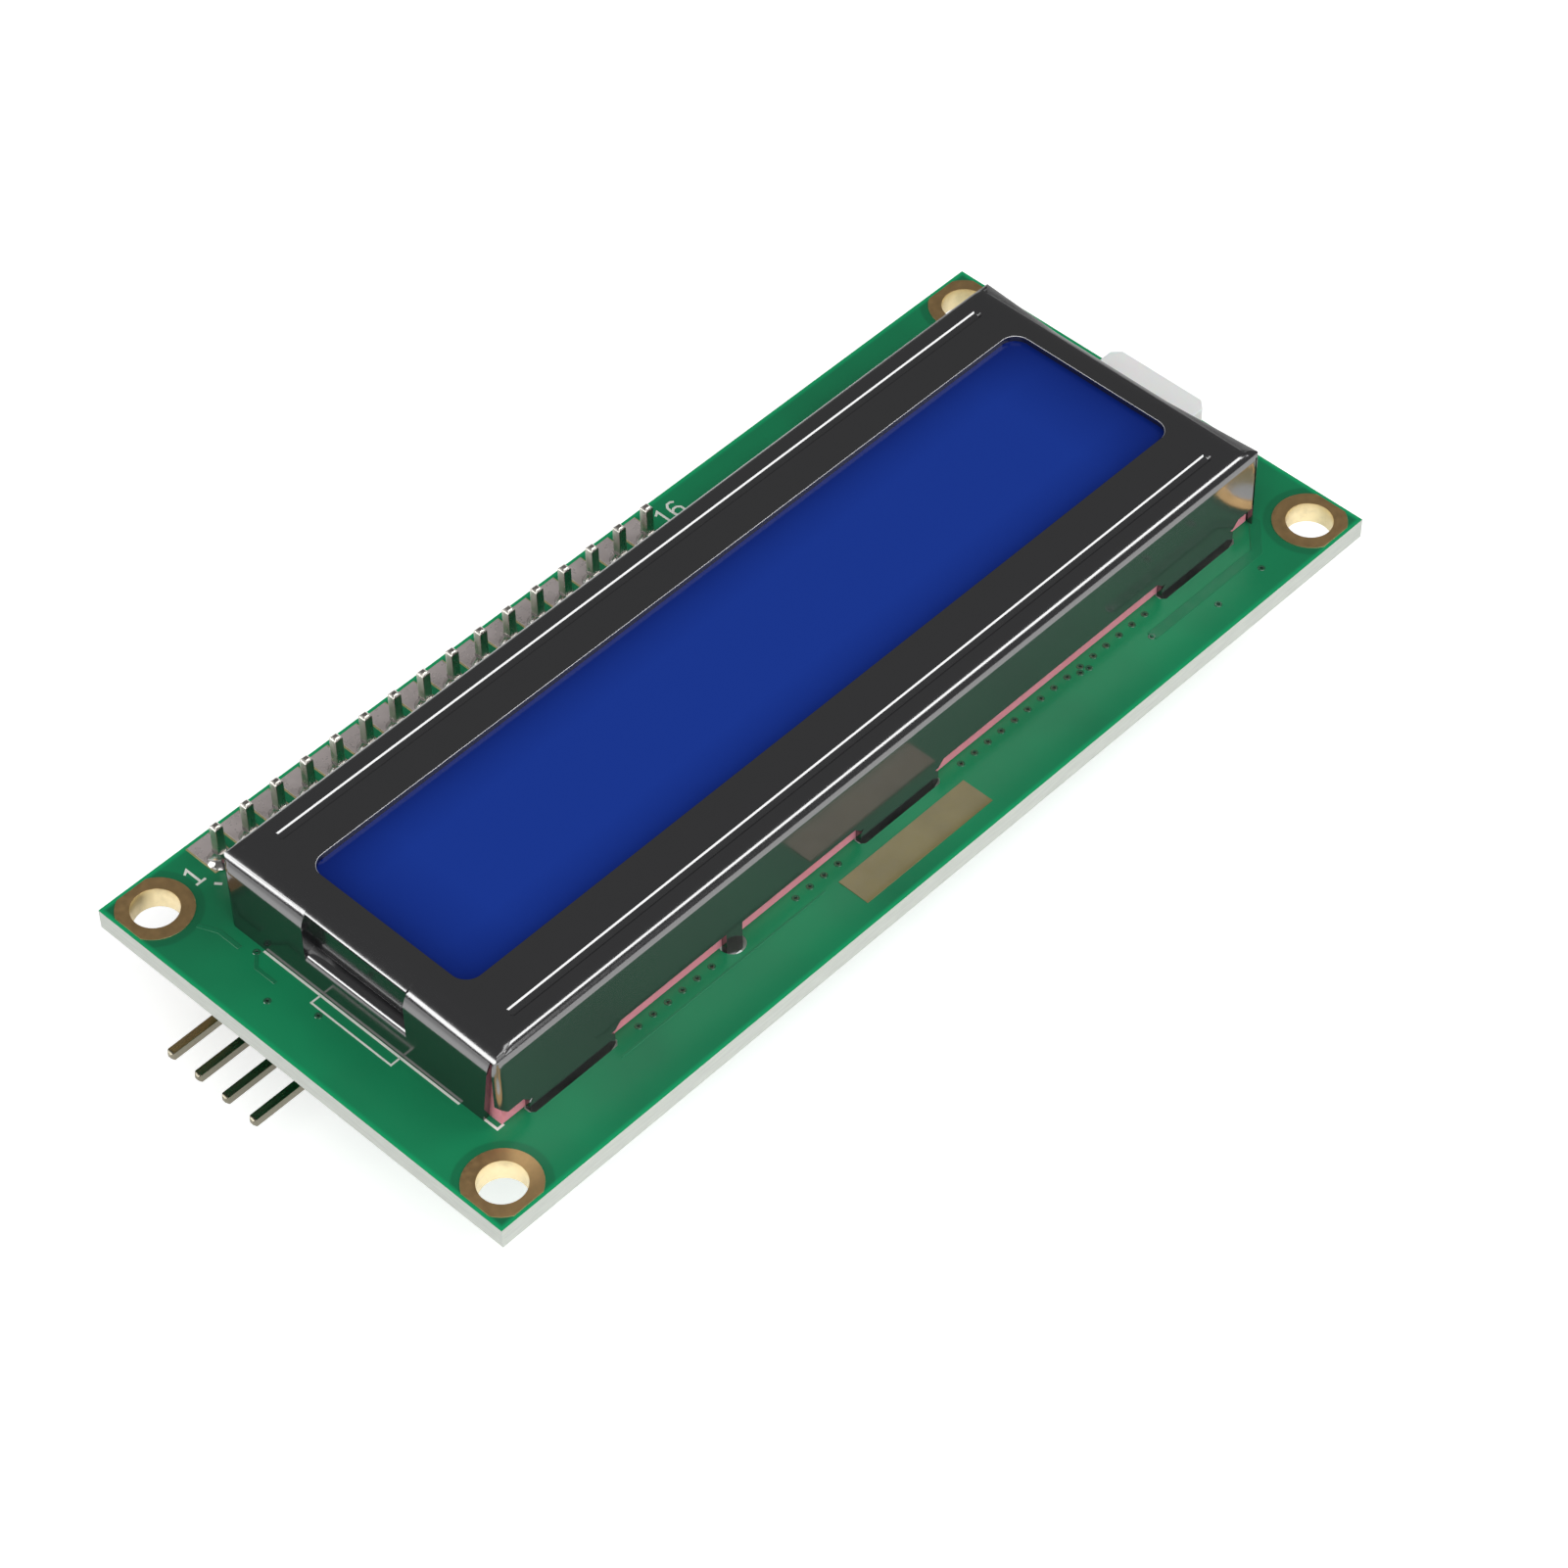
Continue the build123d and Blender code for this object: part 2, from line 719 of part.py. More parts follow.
with BuildPart() as header_strip:
    with BuildSketch(Plane.XY.offset(adapter_front)):
        with Locations((row_centre_x, row_y)):
            Rectangle(row_count * pin_pitch, strip_width)
            with GridLocations(pin_pitch, strip_width, row_count - 1, 2):
                Rectangle(strip_notch, strip_notch, rotation=45, mode=Mode.SUBTRACT)
            with GridLocations(pin_pitch, 0, row_count, 1):
                Rectangle(pin_side, pin_side, mode=Mode.SUBTRACT)
    extrude(amount=strip_height)
keep(header_strip, "header_strip")

# Soldered pads on the front of the main board: a clipped flat pad and solder on each pin
with BuildPart() as header_solder_front:
    with BuildSketch() as pads:
        with Locations(*[(x, y + pad_shift_y) for x, y in row_places()]):
            Rectangle(pad_width, pad_length)
        chamfer(pads.vertices(), pad_corner)
    extrude(amount=pad_height)
    with BuildSketch():
        with Locations(*row_places()):
            Rectangle(pin_side, pin_side)
    extrude(amount=pad_height, mode=Mode.SUBTRACT)
    add(solder_joints(row_places(), pad_height, pin_side).part)
keep(header_solder_front, "header_solder_front")

rear_joints = solder_joints(row_places(), adapter_back, pin_side)
header_solder_rear = hanging(rear_joints, adapter_back)
keep(header_solder_rear, "header_solder_rear")

# Adapter board behind the main board
with BuildPart() as adapter_board:
    with BuildSketch(Plane.XY.offset(adapter_back)):
        with Locations((row_centre_x, adapter_y)):
            Rectangle(adapter_length, adapter_width)
        with Locations(*row_places(), *bus_places, *jumper_places):
            Rectangle(pin_side, pin_side, mode=Mode.SUBTRACT)
        with Locations(*trimmer_pin_places):
            Rectangle(trimmer_pin_side, trimmer_pin_side, mode=Mode.SUBTRACT)
    extrude(amount=adapter_thickness)
keep(adapter_board, "adapter_board")

with BuildPart() as adapter_pin_solder:
    add(solder_joints(bus_places + jumper_places, adapter_front, pin_side).part)
    add(solder_joints(trimmer_pin_places, adapter_front, trimmer_pin_side).part)
keep(adapter_pin_solder, "adapter_pin_solder")


def angled_pins(places, leg_x, tip_x):
    """Square pins with one bend: a leg up through the board and a run out to the tip."""
    out = 1 if tip_x > leg_x else -1
    half = pin_side / 2
    with BuildPart() as pins:
        with BuildSketch(Plane.XZ.offset(-places[0][1])) as side_view:
            with BuildLine():
                Polyline(
                    (leg_x - out * half, leg_top),
                    (leg_x + out * half, leg_top),
                    (leg_x + out * half, angled_axis_z + half),
                    (tip_x, angled_axis_z + half),
                    (tip_x, angled_axis_z - half),
                    (leg_x - out * half, angled_axis_z - half),
                    close=True,
                )
            make_face()
            outer_bend = side_view.vertices().sort_by_distance(
                (leg_x - out * half, places[0][1], angled_axis_z - half)
            )[0]
            fillet(outer_bend, angled_bend)
        extrude(amount=half, both=True)
        tip_edges = pins.edges().filter_by_position(Axis.X, tip_x - 0.01, tip_x + 0.01)
        chamfer(tip_edges, pin_point)
        first_pin = pins.part
        for x, y in places[1:]:
            add(first_pin.moved(Location((0, y - places[0][1], 0))))
    return pins


def angled_header_body(places, near_x, far_x):
    """Moulded block of an angled header, lying on the back of the adapter."""
    centre_y = (places[0][1] + places[-1][1]) / 2
    with BuildPart() as block:
        with BuildSketch(Plane.YZ.offset(min(near_x, far_x))):
            with Locations((centre_y, angled_axis_z)):
                Rectangle(len(places) * pin_pitch, angled_body)
                with GridLocations(pin_pitch, angled_body, len(places) - 1, 2):
                    Rectangle(strip_notch, strip_notch, rotation=45, mode=Mode.SUBTRACT)
                with GridLocations(pin_pitch, 0, len(places), 1):
                    Rectangle(pin_side, pin_side, mode=Mode.SUBTRACT)
        extrude(amount=angled_body)
    return block


bus_header_body = angled_header_body(bus_places, bus_body_x, bus_body_x - angled_body)
keep(bus_header_body, "bus_header_body")
bus_header_pins = angled_pins(bus_places, bus_row_x, bus_tip_x)
keep(bus_header_pins, "bus_header_pins")
jumper_header_body = angled_header_body(jumper_places, jumper_body_x, jumper_face_x)
keep(jumper_header_body, "jumper_header_body")
jumper_pins = angled_pins(jumper_places, jumper_row_x, jumper_tip_x)
keep(jumper_pins, "jumper_pins")

# Jumper cap: a plastic shell over a clip that joins the two pins
cap_x = jumper_face_x + cap_gap
clip_hole = pin_side + 2 * contact_gap
clip_tube = clip_hole + 2 * contact_sheet
with BuildPart() as jumper_cap_shell:
    with BuildSketch(Plane.YZ.offset(cap_x)):
        with Locations((adapter_y, angled_axis_z)):
            Rectangle(cap_width, cap_height)
    extrude(amount=cap_length)
    chamfer(jumper_cap_shell.edges().filter_by(Axis.X), cap_edge)
    with BuildSketch(Plane.YZ.offset(cap_x)):
        with Locations((adapter_y, angled_axis_z)):
            Rectangle(pin_pitch + clip_tube + 2 * contact_seat, clip_tube + 2 * contact_seat)
    extrude(amount=contact_length + contact_seat, mode=Mode.SUBTRACT)
    with BuildSketch(Plane.YZ.offset(cap_x + cap_length)):
        with Locations((adapter_y, angled_axis_z)):
            Rectangle(pin_side, clip_hole)
    extrude(amount=contact_length - cap_length, mode=Mode.SUBTRACT)
keep(jumper_cap_shell, "jumper_cap_shell")

with BuildPart() as jumper_cap_clip:
    with BuildSketch(Plane.YZ.offset(cap_x)):
        with Locations((adapter_y, angled_axis_z)):
            Rectangle(pin_pitch + clip_tube, clip_tube)
            Rectangle(pin_pitch - clip_tube, clip_hole, mode=Mode.SUBTRACT)
            with GridLocations(pin_pitch, 0, 2, 1):
                Rectangle(clip_hole, clip_hole, mode=Mode.SUBTRACT)
    extrude(amount=contact_length)
keep(jumper_cap_clip, "jumper_cap_clip")

# Expander chip: a drafted body and sixteen gull wing leads
chip_mid = adapter_back - chip_standoff - chip_height / 2
with BuildPart() as expander_chip:
    for way in (-1, 1):
        with BuildSketch(Plane.XY.offset(chip_mid)):
            with Locations((chip_x, chip_y)):
                Rectangle(chip_length, chip_width)
        extrude(amount=way * chip_height / 2, taper=chip_draft)
    with BuildSketch(Plane.XY.offset(chip_mid - chip_height / 2)):
        with Locations(
            (
                chip_x - chip_length / 2 + chip_mark_inset,
                chip_y - chip_width / 2 + chip_mark_inset,
            )
        ):
            Circle(chip_mark_radius)
    extrude(amount=chip_mark_depth, mode=Mode.SUBTRACT)
keep(expander_chip, "expander_chip")


def gull_wings(centre_x, centre_y, body_half, span_half, exit_z, places):
    """Leads on the +Y side of a chip: a shoulder, a drop to the board and a foot."""
    knee = body_half + lead_shoulder
    with BuildPart() as leads:
        for offset_x in places:
            with BuildSketch(Plane.YZ.offset(centre_x + offset_x)):
                with BuildLine():
                    Polyline(
                        (centre_y + body_half, exit_z - lead_sheet / 2),
                        (centre_y + knee + lead_sheet, exit_z - lead_sheet / 2),
                        (centre_y + knee + lead_sheet, adapter_back - lead_sheet),
                        (centre_y + span_half, adapter_back - lead_sheet),
                        (centre_y + span_half, adapter_back),
                        (centre_y + knee, adapter_back),
                        (centre_y + knee, exit_z + lead_sheet / 2),
                        (centre_y + body_half, exit_z + lead_sheet / 2),
                        close=True,
                    )
                make_face()
            extrude(amount=lead_width / 2, both=True)
    return leads


chip_lead_places = [(i - (lead_count - 1) / 2) * lead_pitch for i in range(lead_count)]
with BuildPart() as expander_leads:
    wing = gull_wings(
        chip_x, chip_y, chip_width / 2, lead_span / 2, chip_mid, chip_lead_places
    )
    add(wing.part)
    mirror(wing.part, about=Plane.XZ.offset(-chip_y))
keep(expander_leads, "expander_leads")

# Contrast trimmer: base with three pins, housing and the rotor that a screwdriver turns
trimmer_base_z = adapter_back - trimmer_base_thickness
trimmer_face_z = adapter_back - trimmer_height
cavity_floor_z = trimmer_face_z + trimmer_face
with BuildPart() as trimmer_base:
    with BuildSketch(Plane.XY.offset(trimmer_base_z)) as base_outline:
        with Locations((trimmer_x, trimmer_y)):
            Rectangle(trimmer_side, trimmer_side)
        chamfer(base_outline.vertices(), trimmer_edge)
    extrude(amount=trimmer_base_thickness)
keep(trimmer_base, "trimmer_base")

with BuildPart() as trimmer_housing:
    with BuildSketch(Plane.XY.offset(trimmer_face_z)) as housing_outline:
        with Locations((trimmer_x, trimmer_y)):
            Rectangle(trimmer_side, trimmer_side)
        chamfer(housing_outline.vertices(), trimmer_edge)
    extrude(amount=trimmer_height - trimmer_base_thickness)
    with BuildSketch(Plane.XY.offset(cavity_floor_z)):
        with Locations((trimmer_x, trimmer_y)):
            Circle(trimmer_cavity_radius)
    extrude(amount=trimmer_base_z - cavity_floor_z, mode=Mode.SUBTRACT)
    with BuildSketch(Plane.XY.offset(trimmer_face_z)):
        with Locations((trimmer_x, trimmer_y)):
            Circle(rotor_radius + rotor_radial_gap)
    extrude(amount=trimmer_face, mode=Mode.SUBTRACT)
keep(trimmer_housing, "trimmer_housing")

rotor_flange_z = cavity_floor_z + rotor_end_gap
with BuildPart() as trimmer_rotor:
    with BuildSketch(Plane.XY.offset(trimmer_face_z + rotor_end_gap)):
        with Locations((trimmer_x, trimmer_y)):
            Circle(rotor_radius)
    extrude(amount=trimmer_face)
    with BuildSketch(Plane.XY.offset(rotor_flange_z)):
        with Locations((trimmer_x, trimmer_y)):
            Circle(rotor_flange_radius)
    extrude(amount=rotor_flange)
    with BuildSketch(Plane.XY.offset(rotor_flange_z + rotor_flange)):
        with Locations((trimmer_x, trimmer_y)):
            Circle(rotor_stem_radius)
    extrude(amount=trimmer_base_z - rotor_end_gap - rotor_flange_z - rotor_flange)
    with BuildSketch(Plane.XY.offset(trimmer_face_z + rotor_end_gap)):
        with Locations((trimmer_x, trimmer_y)):
            Rectangle(rotor_slot_length, rotor_slot)
            Rectangle(rotor_slot, rotor_slot_length)
    extrude(amount=rotor_slot_depth, mode=Mode.SUBTRACT)
keep(trimmer_rotor, "trimmer_rotor")

with BuildPart() as trimmer_pins:
    with BuildSketch(Plane.XY.offset(adapter_back)):
        with Locations(*trimmer_pin_places):
            Rectangle(trimmer_pin_side, trimmer_pin_side)
    extrude(amount=adapter_thickness + leg_proud)
keep(trimmer_pins, "trimmer_pins")

# Transistor that switches the backlight
transistor_mid = adapter_back - chip_standoff - transistor_height / 2
with BuildPart() as switch_transistor:
    for way in (-1, 1):
        with BuildSketch(Plane.XY.offset(transistor_mid)):
            with Locations((transistor_x, transistor_y)):
                Rectangle(transistor_length, transistor_width)
        extrude(amount=way * transistor_height / 2, taper=chip_draft)
keep(switch_transistor, "switch_transistor")

with BuildPart() as transistor_leads:
    pair = gull_wings(
        transistor_x,
        transistor_y,
        transistor_width / 2,
        transistor_width / 2 + 2 * lead_shoulder,
        transistor_mid,
        (-transistor_lead_pitch, transistor_lead_pitch),
    )
    single = gull_wings(
        transistor_x,
        transistor_y,
        transistor_width / 2,
        transistor_width / 2 + 2 * lead_shoulder,
        transistor_mid,
        (0,),
    )
    add(pair.part)
    mirror(single.part, about=Plane.XZ.offset(-transistor_y))
keep(transistor_leads, "transistor_leads")

# Power lamp, resistors and capacitors of the adapter
lamp_place = (adapter_left + lamp_inset_x, adapter_low_y + lamp_inset_y)
power_lamp = chip_parts([lamp_place], adapter_back, led_lens_height)
keep(power_lamp, "power_lamp")
resistor_places = column_places(
    adapter_left + column_resistor_inset_x,
    adapter_y + column_resistor_shift_y,
    column_resistor_count,
    column_resistor_pitch,
) + column_places(
    adapter_right - pair_resistor_inset_x,
    adapter_low_y + pair_resistor_inset_y,
    2,
    column_resistor_pitch,
)
adapter_resistors = chip_parts(resistor_places, adapter_back, chip_part_height)
keep(adapter_resistors, "adapter_resistors")
capacitor_x = adapter_left + adapter_capacitor_inset_x
capacitor_y = adapter_low_y + adapter_capacitor_inset_y
capacitor_places = [
    (capacitor_x, capacitor_y),
    (capacitor_x + adapter_capacitor_pitch, capacitor_y),
]
adapter_capacitors = chip_parts(capacitor_places, adapter_back, capacitor_height)
keep(adapter_capacitors, "adapter_capacitors")
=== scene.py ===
"""Looks of a character LCD module with a serial adapter behind it, laid out as a Blender add-on.

Lengths in the property groups are in metres. Inside the piece makers they are in millimetres,
and each finished mesh is brought to metres once, by finish_piece.
"""

import math

import bmesh
import bpy
from bpy.props import (
    FloatProperty,
    FloatVectorProperty,
    IntProperty,
    PointerProperty,
)
from mathutils import Matrix, Vector


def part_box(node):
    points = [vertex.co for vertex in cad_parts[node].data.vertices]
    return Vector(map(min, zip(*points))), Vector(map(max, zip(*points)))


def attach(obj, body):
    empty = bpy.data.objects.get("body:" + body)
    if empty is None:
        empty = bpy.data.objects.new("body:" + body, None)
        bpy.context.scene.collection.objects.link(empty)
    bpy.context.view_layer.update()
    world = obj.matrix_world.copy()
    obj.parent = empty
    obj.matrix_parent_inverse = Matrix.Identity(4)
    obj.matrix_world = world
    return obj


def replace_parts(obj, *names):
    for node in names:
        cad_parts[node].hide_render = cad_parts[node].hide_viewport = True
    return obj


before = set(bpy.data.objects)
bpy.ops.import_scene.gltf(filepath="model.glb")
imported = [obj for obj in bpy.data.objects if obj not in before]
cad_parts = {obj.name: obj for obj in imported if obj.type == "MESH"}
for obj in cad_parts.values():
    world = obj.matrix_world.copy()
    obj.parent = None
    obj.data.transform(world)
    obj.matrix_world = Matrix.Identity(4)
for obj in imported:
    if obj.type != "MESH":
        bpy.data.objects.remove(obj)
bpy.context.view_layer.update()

bl_info = {
    "name": "Character LCD module",
    "version": (1, 0, 0),
    "blender": (4, 5, 0),
    "location": "3D View > Sidebar > Display",
    "description": "Finishes, printing, solder and stage for a character LCD module",
    "category": "Object",
}

MM = 0.001
PITCH = 2.54
BOARD_FACE = 0.0
WINDOW_HALF_X = 32.2
WINDOW_HALF_Y = 6.95
BOARD_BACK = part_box("main_board")[0].z / MM
ADAPTER_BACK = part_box("adapter_board")[0].z / MM


def linear(red, green, blue):
    """A colour written as 0 to 255 screen values, as the linear values that shaders read."""
    out = []
    for value in (red, green, blue):
        part = value / 255
        out.append(part / 12.92 if part <= 0.04045 else ((part + 0.055) / 1.055) ** 2.4)
    return tuple(out)


def colour_property(name, description, screen):
    return FloatVectorProperty(
        name=name, description=description, subtype="COLOR", size=3, min=0.0, max=1.0,
        default=linear(*screen),
    )


def length_property(name, description, millimetres, least=0.0):
    return FloatProperty(
        name=name, description=description, unit="LENGTH", subtype="DISTANCE", min=least,
        precision=5, default=millimetres * MM,
    )


def angle_property(name, description, degrees):
    return FloatProperty(
        name=name, description=description, subtype="ANGLE", default=math.radians(degrees)
    )


def level_property(name, description, default):
    return FloatProperty(name=name, description=description, default=default, min=0.0)


class BoardFinish(bpy.types.PropertyGroup):
    mask: colour_property("Solder mask", "Green of the mask over bare laminate", (8, 136, 87))
    mask_copper: colour_property("Mask on copper", "Green of the mask over copper", (12, 114, 74))
    mask_rim: colour_property("Mask at the rim", "Bright green along the cut edge", (0, 160, 100))
    laminate: colour_property("Laminate", "Cut edge of the board", (208, 213, 205))
    dark_mask: colour_property("Adapter mask", "Mask of the adapter board", (18, 24, 42))
    print_ink: colour_property("Printing", "White legend ink", (226, 228, 220))
    rim_width: length_property("Rim width", "Width of the bright rim at the board edge", 0.4)
    print_thickness: length_property("Ink thickness", "Height of the legend ink", 0.02)


class MetalFinish(bpy.types.PropertyGroup):
    bezel: colour_property("Bezel", "Black coat of the folded sheet", (30, 30, 32))
    # Near-white rim on the far side of the window: bare punched steel, and partly a painted
    # highlight
    cut_edge: colour_property("Cut edge", "Bright edge of the punched window", (226, 226, 228))
    ring: colour_property("Ring", "Bronze tint of the hole rings", (236, 196, 138))
    # Paler gold on the barrels and side faces of the rings: painted highlight
    barrel_highlight: colour_property("Barrel highlight", "Pale gold inside the mounting holes", (238, 220, 176))
    tin: colour_property("Tin", "Tinned square pins", (214, 210, 202))
    solder: colour_property("Solder", "Shiny solder", (206, 203, 200))
    edge_round: length_property("Edge rounding", "Rounding along the sheet's cut edges", 0.05)
    end_bend: length_property("End bend", "Radius of the bends at the two ends", 2.0)
    side_bend: length_property("Side bend", "Radius of the bends along the two sides", 0.95)
    # The bright rim is near-white cut steel on a chamfer, partly a painted highlight
    window_burr: length_property("Window rim", "Width of the bright rim of the window", 0.12)
    pocket_round: length_property("Pocket rounding", "Rounding of the pressed pocket", 0.2)
    ledge_round: length_property("Ledge rounding", "Rounding of the ledge's outer edge", 0.6)


class DisplayFinish(bpy.types.PropertyGroup):
    blue: colour_property("Display blue", "Middle of the display face", (24, 56, 150))
    # Darker blue beside the window edge: painted shade of the window's recess
    blue_painted_shade: colour_property("Display painted shade", "Display face beside the window edge", (8, 30, 106))
    silicone: colour_property("Contact strip", "Pink silicone contact strip", (255, 158, 174))
    light_box: colour_property("Backlight", "Milky plastic of the backlight", (248, 248, 247))
    # Width of the painted shade along the window edge
    fade: length_property("Edge fade", "Width of the darker margin of the display", 5.5)


class SolderSizes(bpy.types.PropertyGroup):
    steps: IntProperty(
        name="Joint steps", description="Faces around each solder joint", default=20, min=6
    )
    joint_radius: length_property("Joint radius", "Radius of a joint where it meets its pad", 0.84)
    neck_radius: length_property("Neck radius", "Radius of a joint where it meets its pin", 0.47)
    joint_height: length_property("Joint height", "Height of a joint above its pad", 0.95)
    pad_height: length_property("Pad height", "Height of the solder coat on a pad", 0.12)


class StageSizes(bpy.types.PropertyGroup):
    azimuth: angle_property("Azimuth", "Camera direction around the vertical", -45.626)
    elevation: angle_property("Elevation", "Camera height angle", 48.527)
    roll: angle_property("Roll", "Camera roll", -1.068)
    distance: length_property("Distance", "Camera distance along its axis", 303.3855)
    offset_x: length_property("Offset across", "Camera place across its axis", 2.0336, -1000.0)
    offset_y: length_property("Offset up", "Camera place up its axis", -4.8853, -1000.0)
    lens: level_property("Lens", "Focal length in millimetres on a 36 mm film", 108.11)
    ambient: level_property("Ambient", "Level of the light from all round", 0.13)
    panel_level: level_property("Panel level", "Brightness of the soft panels", 5.5)
    floor_glow: level_property("Floor glow", "Own light of the floor as the camera sees it", 0.6)
    floor: colour_property("Floor", "Pale floor", (235, 235, 235))
    floor_size: length_property("Floor size", "Side of the square floor", 3000.0)


def settings(name):
    return getattr(bpy.context.scene, name)


# Meshes


def finish_piece(name, mesh_maker, materials, body="module", sharp=40.0, recalc=True):
    """Turn a bmesh in millimetres into a piece in metres that rides on a body."""
    if recalc:
        bmesh.ops.recalc_face_normals(mesh_maker, faces=mesh_maker.faces)
    bmesh.ops.scale(mesh_maker, vec=(MM, MM, MM), verts=mesh_maker.verts)
    limit = math.radians(sharp)
    for face in mesh_maker.faces:
        face.smooth = True
    for edge in mesh_maker.edges:
        edge.smooth = edge.calc_face_angle(math.pi) < limit
    mesh = bpy.data.meshes.new(name)
    mesh_maker.to_mesh(mesh)
    mesh_maker.free()
    for material in materials:
        mesh.materials.append(material)
    piece = bpy.data.objects.new(name, mesh)
    bpy.context.scene.collection.objects.link(piece)
    even = piece.modifiers.new("even shading", "WEIGHTED_NORMAL")
    even.keep_sharp = True
    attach(piece, body)
    return piece


def round_edges(mesh_maker, edges, radius, segments=2):
    """Bevel some edges to a round of the given radius."""
    bmesh.ops.bevel(
        mesh_maker, geom=edges, offset=radius, segments=segments, affect="EDGES",
        profile=0.5, material=-1, clamp_overlap=True,
    )


def cut(mesh_maker, place, normal, geom=None):
    """Split every face that a plane crosses, or only the given parts, without removing any."""
    everything = mesh_maker.verts[:] + mesh_maker.edges[:] + mesh_maker.faces[:]
    bmesh.ops.bisect_plane(
        mesh_maker, geom=geom or everything, dist=0.0001, plane_co=place, plane_no=normal
    )


def block(mesh_maker, centre, size, edge=0.0, segments=2, material=0):
    """A rectangular block with rounded edges."""
    made = bmesh.ops.create_cube(mesh_maker, size=1.0)
    verts = made["verts"]
    bmesh.ops.scale(mesh_maker, vec=size, verts=verts)
    bmesh.ops.translate(mesh_maker, vec=centre, verts=verts)
    faces = {face for vert in verts for face in vert.link_faces}
    for face in faces:
        face.material_index = material
    if edge:
        round_edges(mesh_maker, list({e for face in faces for e in face.edges}), edge, segments)


def spun(mesh_maker, profile, centre, steps, material=0):
    """A turned shape: profile is a run of (radius, height) from one end to the other."""
    verts = [
        mesh_maker.verts.new((centre[0] + radius, centre[1], centre[2] + height))
        for radius, height in profile
    ]
    edges = [mesh_maker.edges.new(pair) for pair in zip(verts, verts[1:])]
    before = set(mesh_maker.faces)
    bmesh.ops.spin(
        mesh_maker, geom=verts + edges, cent=centre, axis=(0, 0, 1), angle=math.tau,
        steps=steps, use_merge=True,
    )
    for face in set(mesh_maker.faces) - before:
        face.material_index = material


def strip(mesh_maker, points, width, base_z, height, material=0, slant=0.0):
    """A flat ribbon of even width along a run of points, with mitred corners."""
    half = width / 2
    left, right = [], []
    for i, point in enumerate(points):
        here = Vector(point)
        before = (here - Vector(points[i - 1])).normalized() if i else None
        after = (Vector(points[i + 1]) - here).normalized() if i + 1 < len(points) else None
        along = ((before or after) + (after or before)).normalized()
        side = Vector((-along.y, along.x))
        reach = half / max(0.4, along.dot(after or before))
        left.append(here + side * reach)
        right.append(here - side * reach)
    outline = left + right[::-1]
    face = mesh_maker.faces.new([mesh_maker.verts.new((p.x, p.y, base_z)) for p in outline])
    face.material_index = material
    raised = bmesh.ops.extrude_face_region(mesh_maker, geom=[face])
    verts = [part for part in raised["geom"] if isinstance(part, bmesh.types.BMVert)]
    bmesh.ops.translate(mesh_maker, vec=(0, 0, height), verts=verts)
    if slant:
        top = [part for part in raised["geom"] if isinstance(part, bmesh.types.BMFace)]
        rim = list({edge for part in top for edge in part.edges})
        round_edges(mesh_maker, rim, slant, 1)


def solid_copy(node):
    """A bmesh in millimetres of a solid, with its corners and flat faces joined."""
    mesh_maker = bmesh.new()
    mesh_maker.from_mesh(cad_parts[node].data)
    bmesh.ops.scale(mesh_maker, vec=(1 / MM,) * 3, verts=mesh_maker.verts)
    bmesh.ops.remove_doubles(mesh_maker, verts=mesh_maker.verts, dist=0.0005)
    bmesh.ops.dissolve_limit(
        mesh_maker, angle_limit=math.radians(0.5), verts=mesh_maker.verts,
        edges=mesh_maker.edges,
    )
    return mesh_maker


def sharp_edges(mesh_maker, test=None):
    """Edges with a clear corner, or only those that also pass a test."""
    limit = math.radians(40.0)
    found = [e for e in mesh_maker.edges if e.calc_face_angle(0.0) > limit]
    return [e for e in found if test(e)] if test else found


def refined(name, node, materials, body="module", edge=0.04):
    """A copy of a solid with its sharp edges slightly rounded."""
    mesh_maker = solid_copy(node)
    round_edges(mesh_maker, sharp_edges(mesh_maker), edge)
    piece = finish_piece(name, mesh_maker, materials, body, sharp=30.0, recalc=False)
    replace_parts(piece, node)
    return piece


def islands(mesh_maker):
    """The lowest and highest corner of each separate part of a mesh."""
    left = set(mesh_maker.verts)
    boxes = []
    while left:
        waiting, group = [left.pop()], []
        while waiting:
            vert = waiting.pop()
            group.append(vert.co)
            for edge in vert.link_edges:
                other = edge.other_vert(vert)
                if other in left:
                    left.remove(other)
                    waiting.append(other)
        low = Vector([min(place[i] for place in group) for i in range(3)])
        high = Vector([max(place[i] for place in group) for i in range(3)])
        boxes.append((low, high))
    return boxes


def capped(name, node, key):
    """Small chip parts: each has a plain body and a tinned cap at its two ends."""
    chips = solid_copy(node)
    cap_share = 0.24
    for low, high in islands(chips):
        size, middle = high - low, (low + high) / 2
        axis = 0 if size.x > size.y else 1
        reach = size[axis] * (0.5 - cap_share)
        normal = Vector((0, 0, 0))
        normal[axis] = 1

        def own_faces():
            return [
                face for face in chips.faces
                if all(
                    low[i] - 0.001 < face.calc_center_median()[i] < high[i] + 0.001
                    for i in range(3)
                )
            ]

        for side in (-1, 1):
            faces = own_faces()
            edges = {edge for face in faces for edge in face.edges}
            verts = {vert for face in faces for vert in face.verts}
            cut(chips, middle + normal * side * reach, normal, [*verts, *edges, *faces])
        for face in own_faces():
            away = abs(face.calc_center_median()[axis] - middle[axis])
            face.material_index = int(away > reach)
    round_edges(chips, sharp_edges(chips), 0.03)
    piece = finish_piece(
        name, chips, [material(key), material("solder")], sharp=30.0, recalc=False
    )
    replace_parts(piece, node)


# Materials


def add_node(tree, kind, **values):
    """A shader node with some of its inputs set, or linked to an output of another."""
    node = tree.nodes.new("ShaderNode" + kind)
    for name, value in values.items():
        socket = node.inputs[name.replace("_", " ")]
        if isinstance(value, bpy.types.NodeSocket):
            tree.links.new(value, socket)
        else:
            socket.default_value = value
    return node


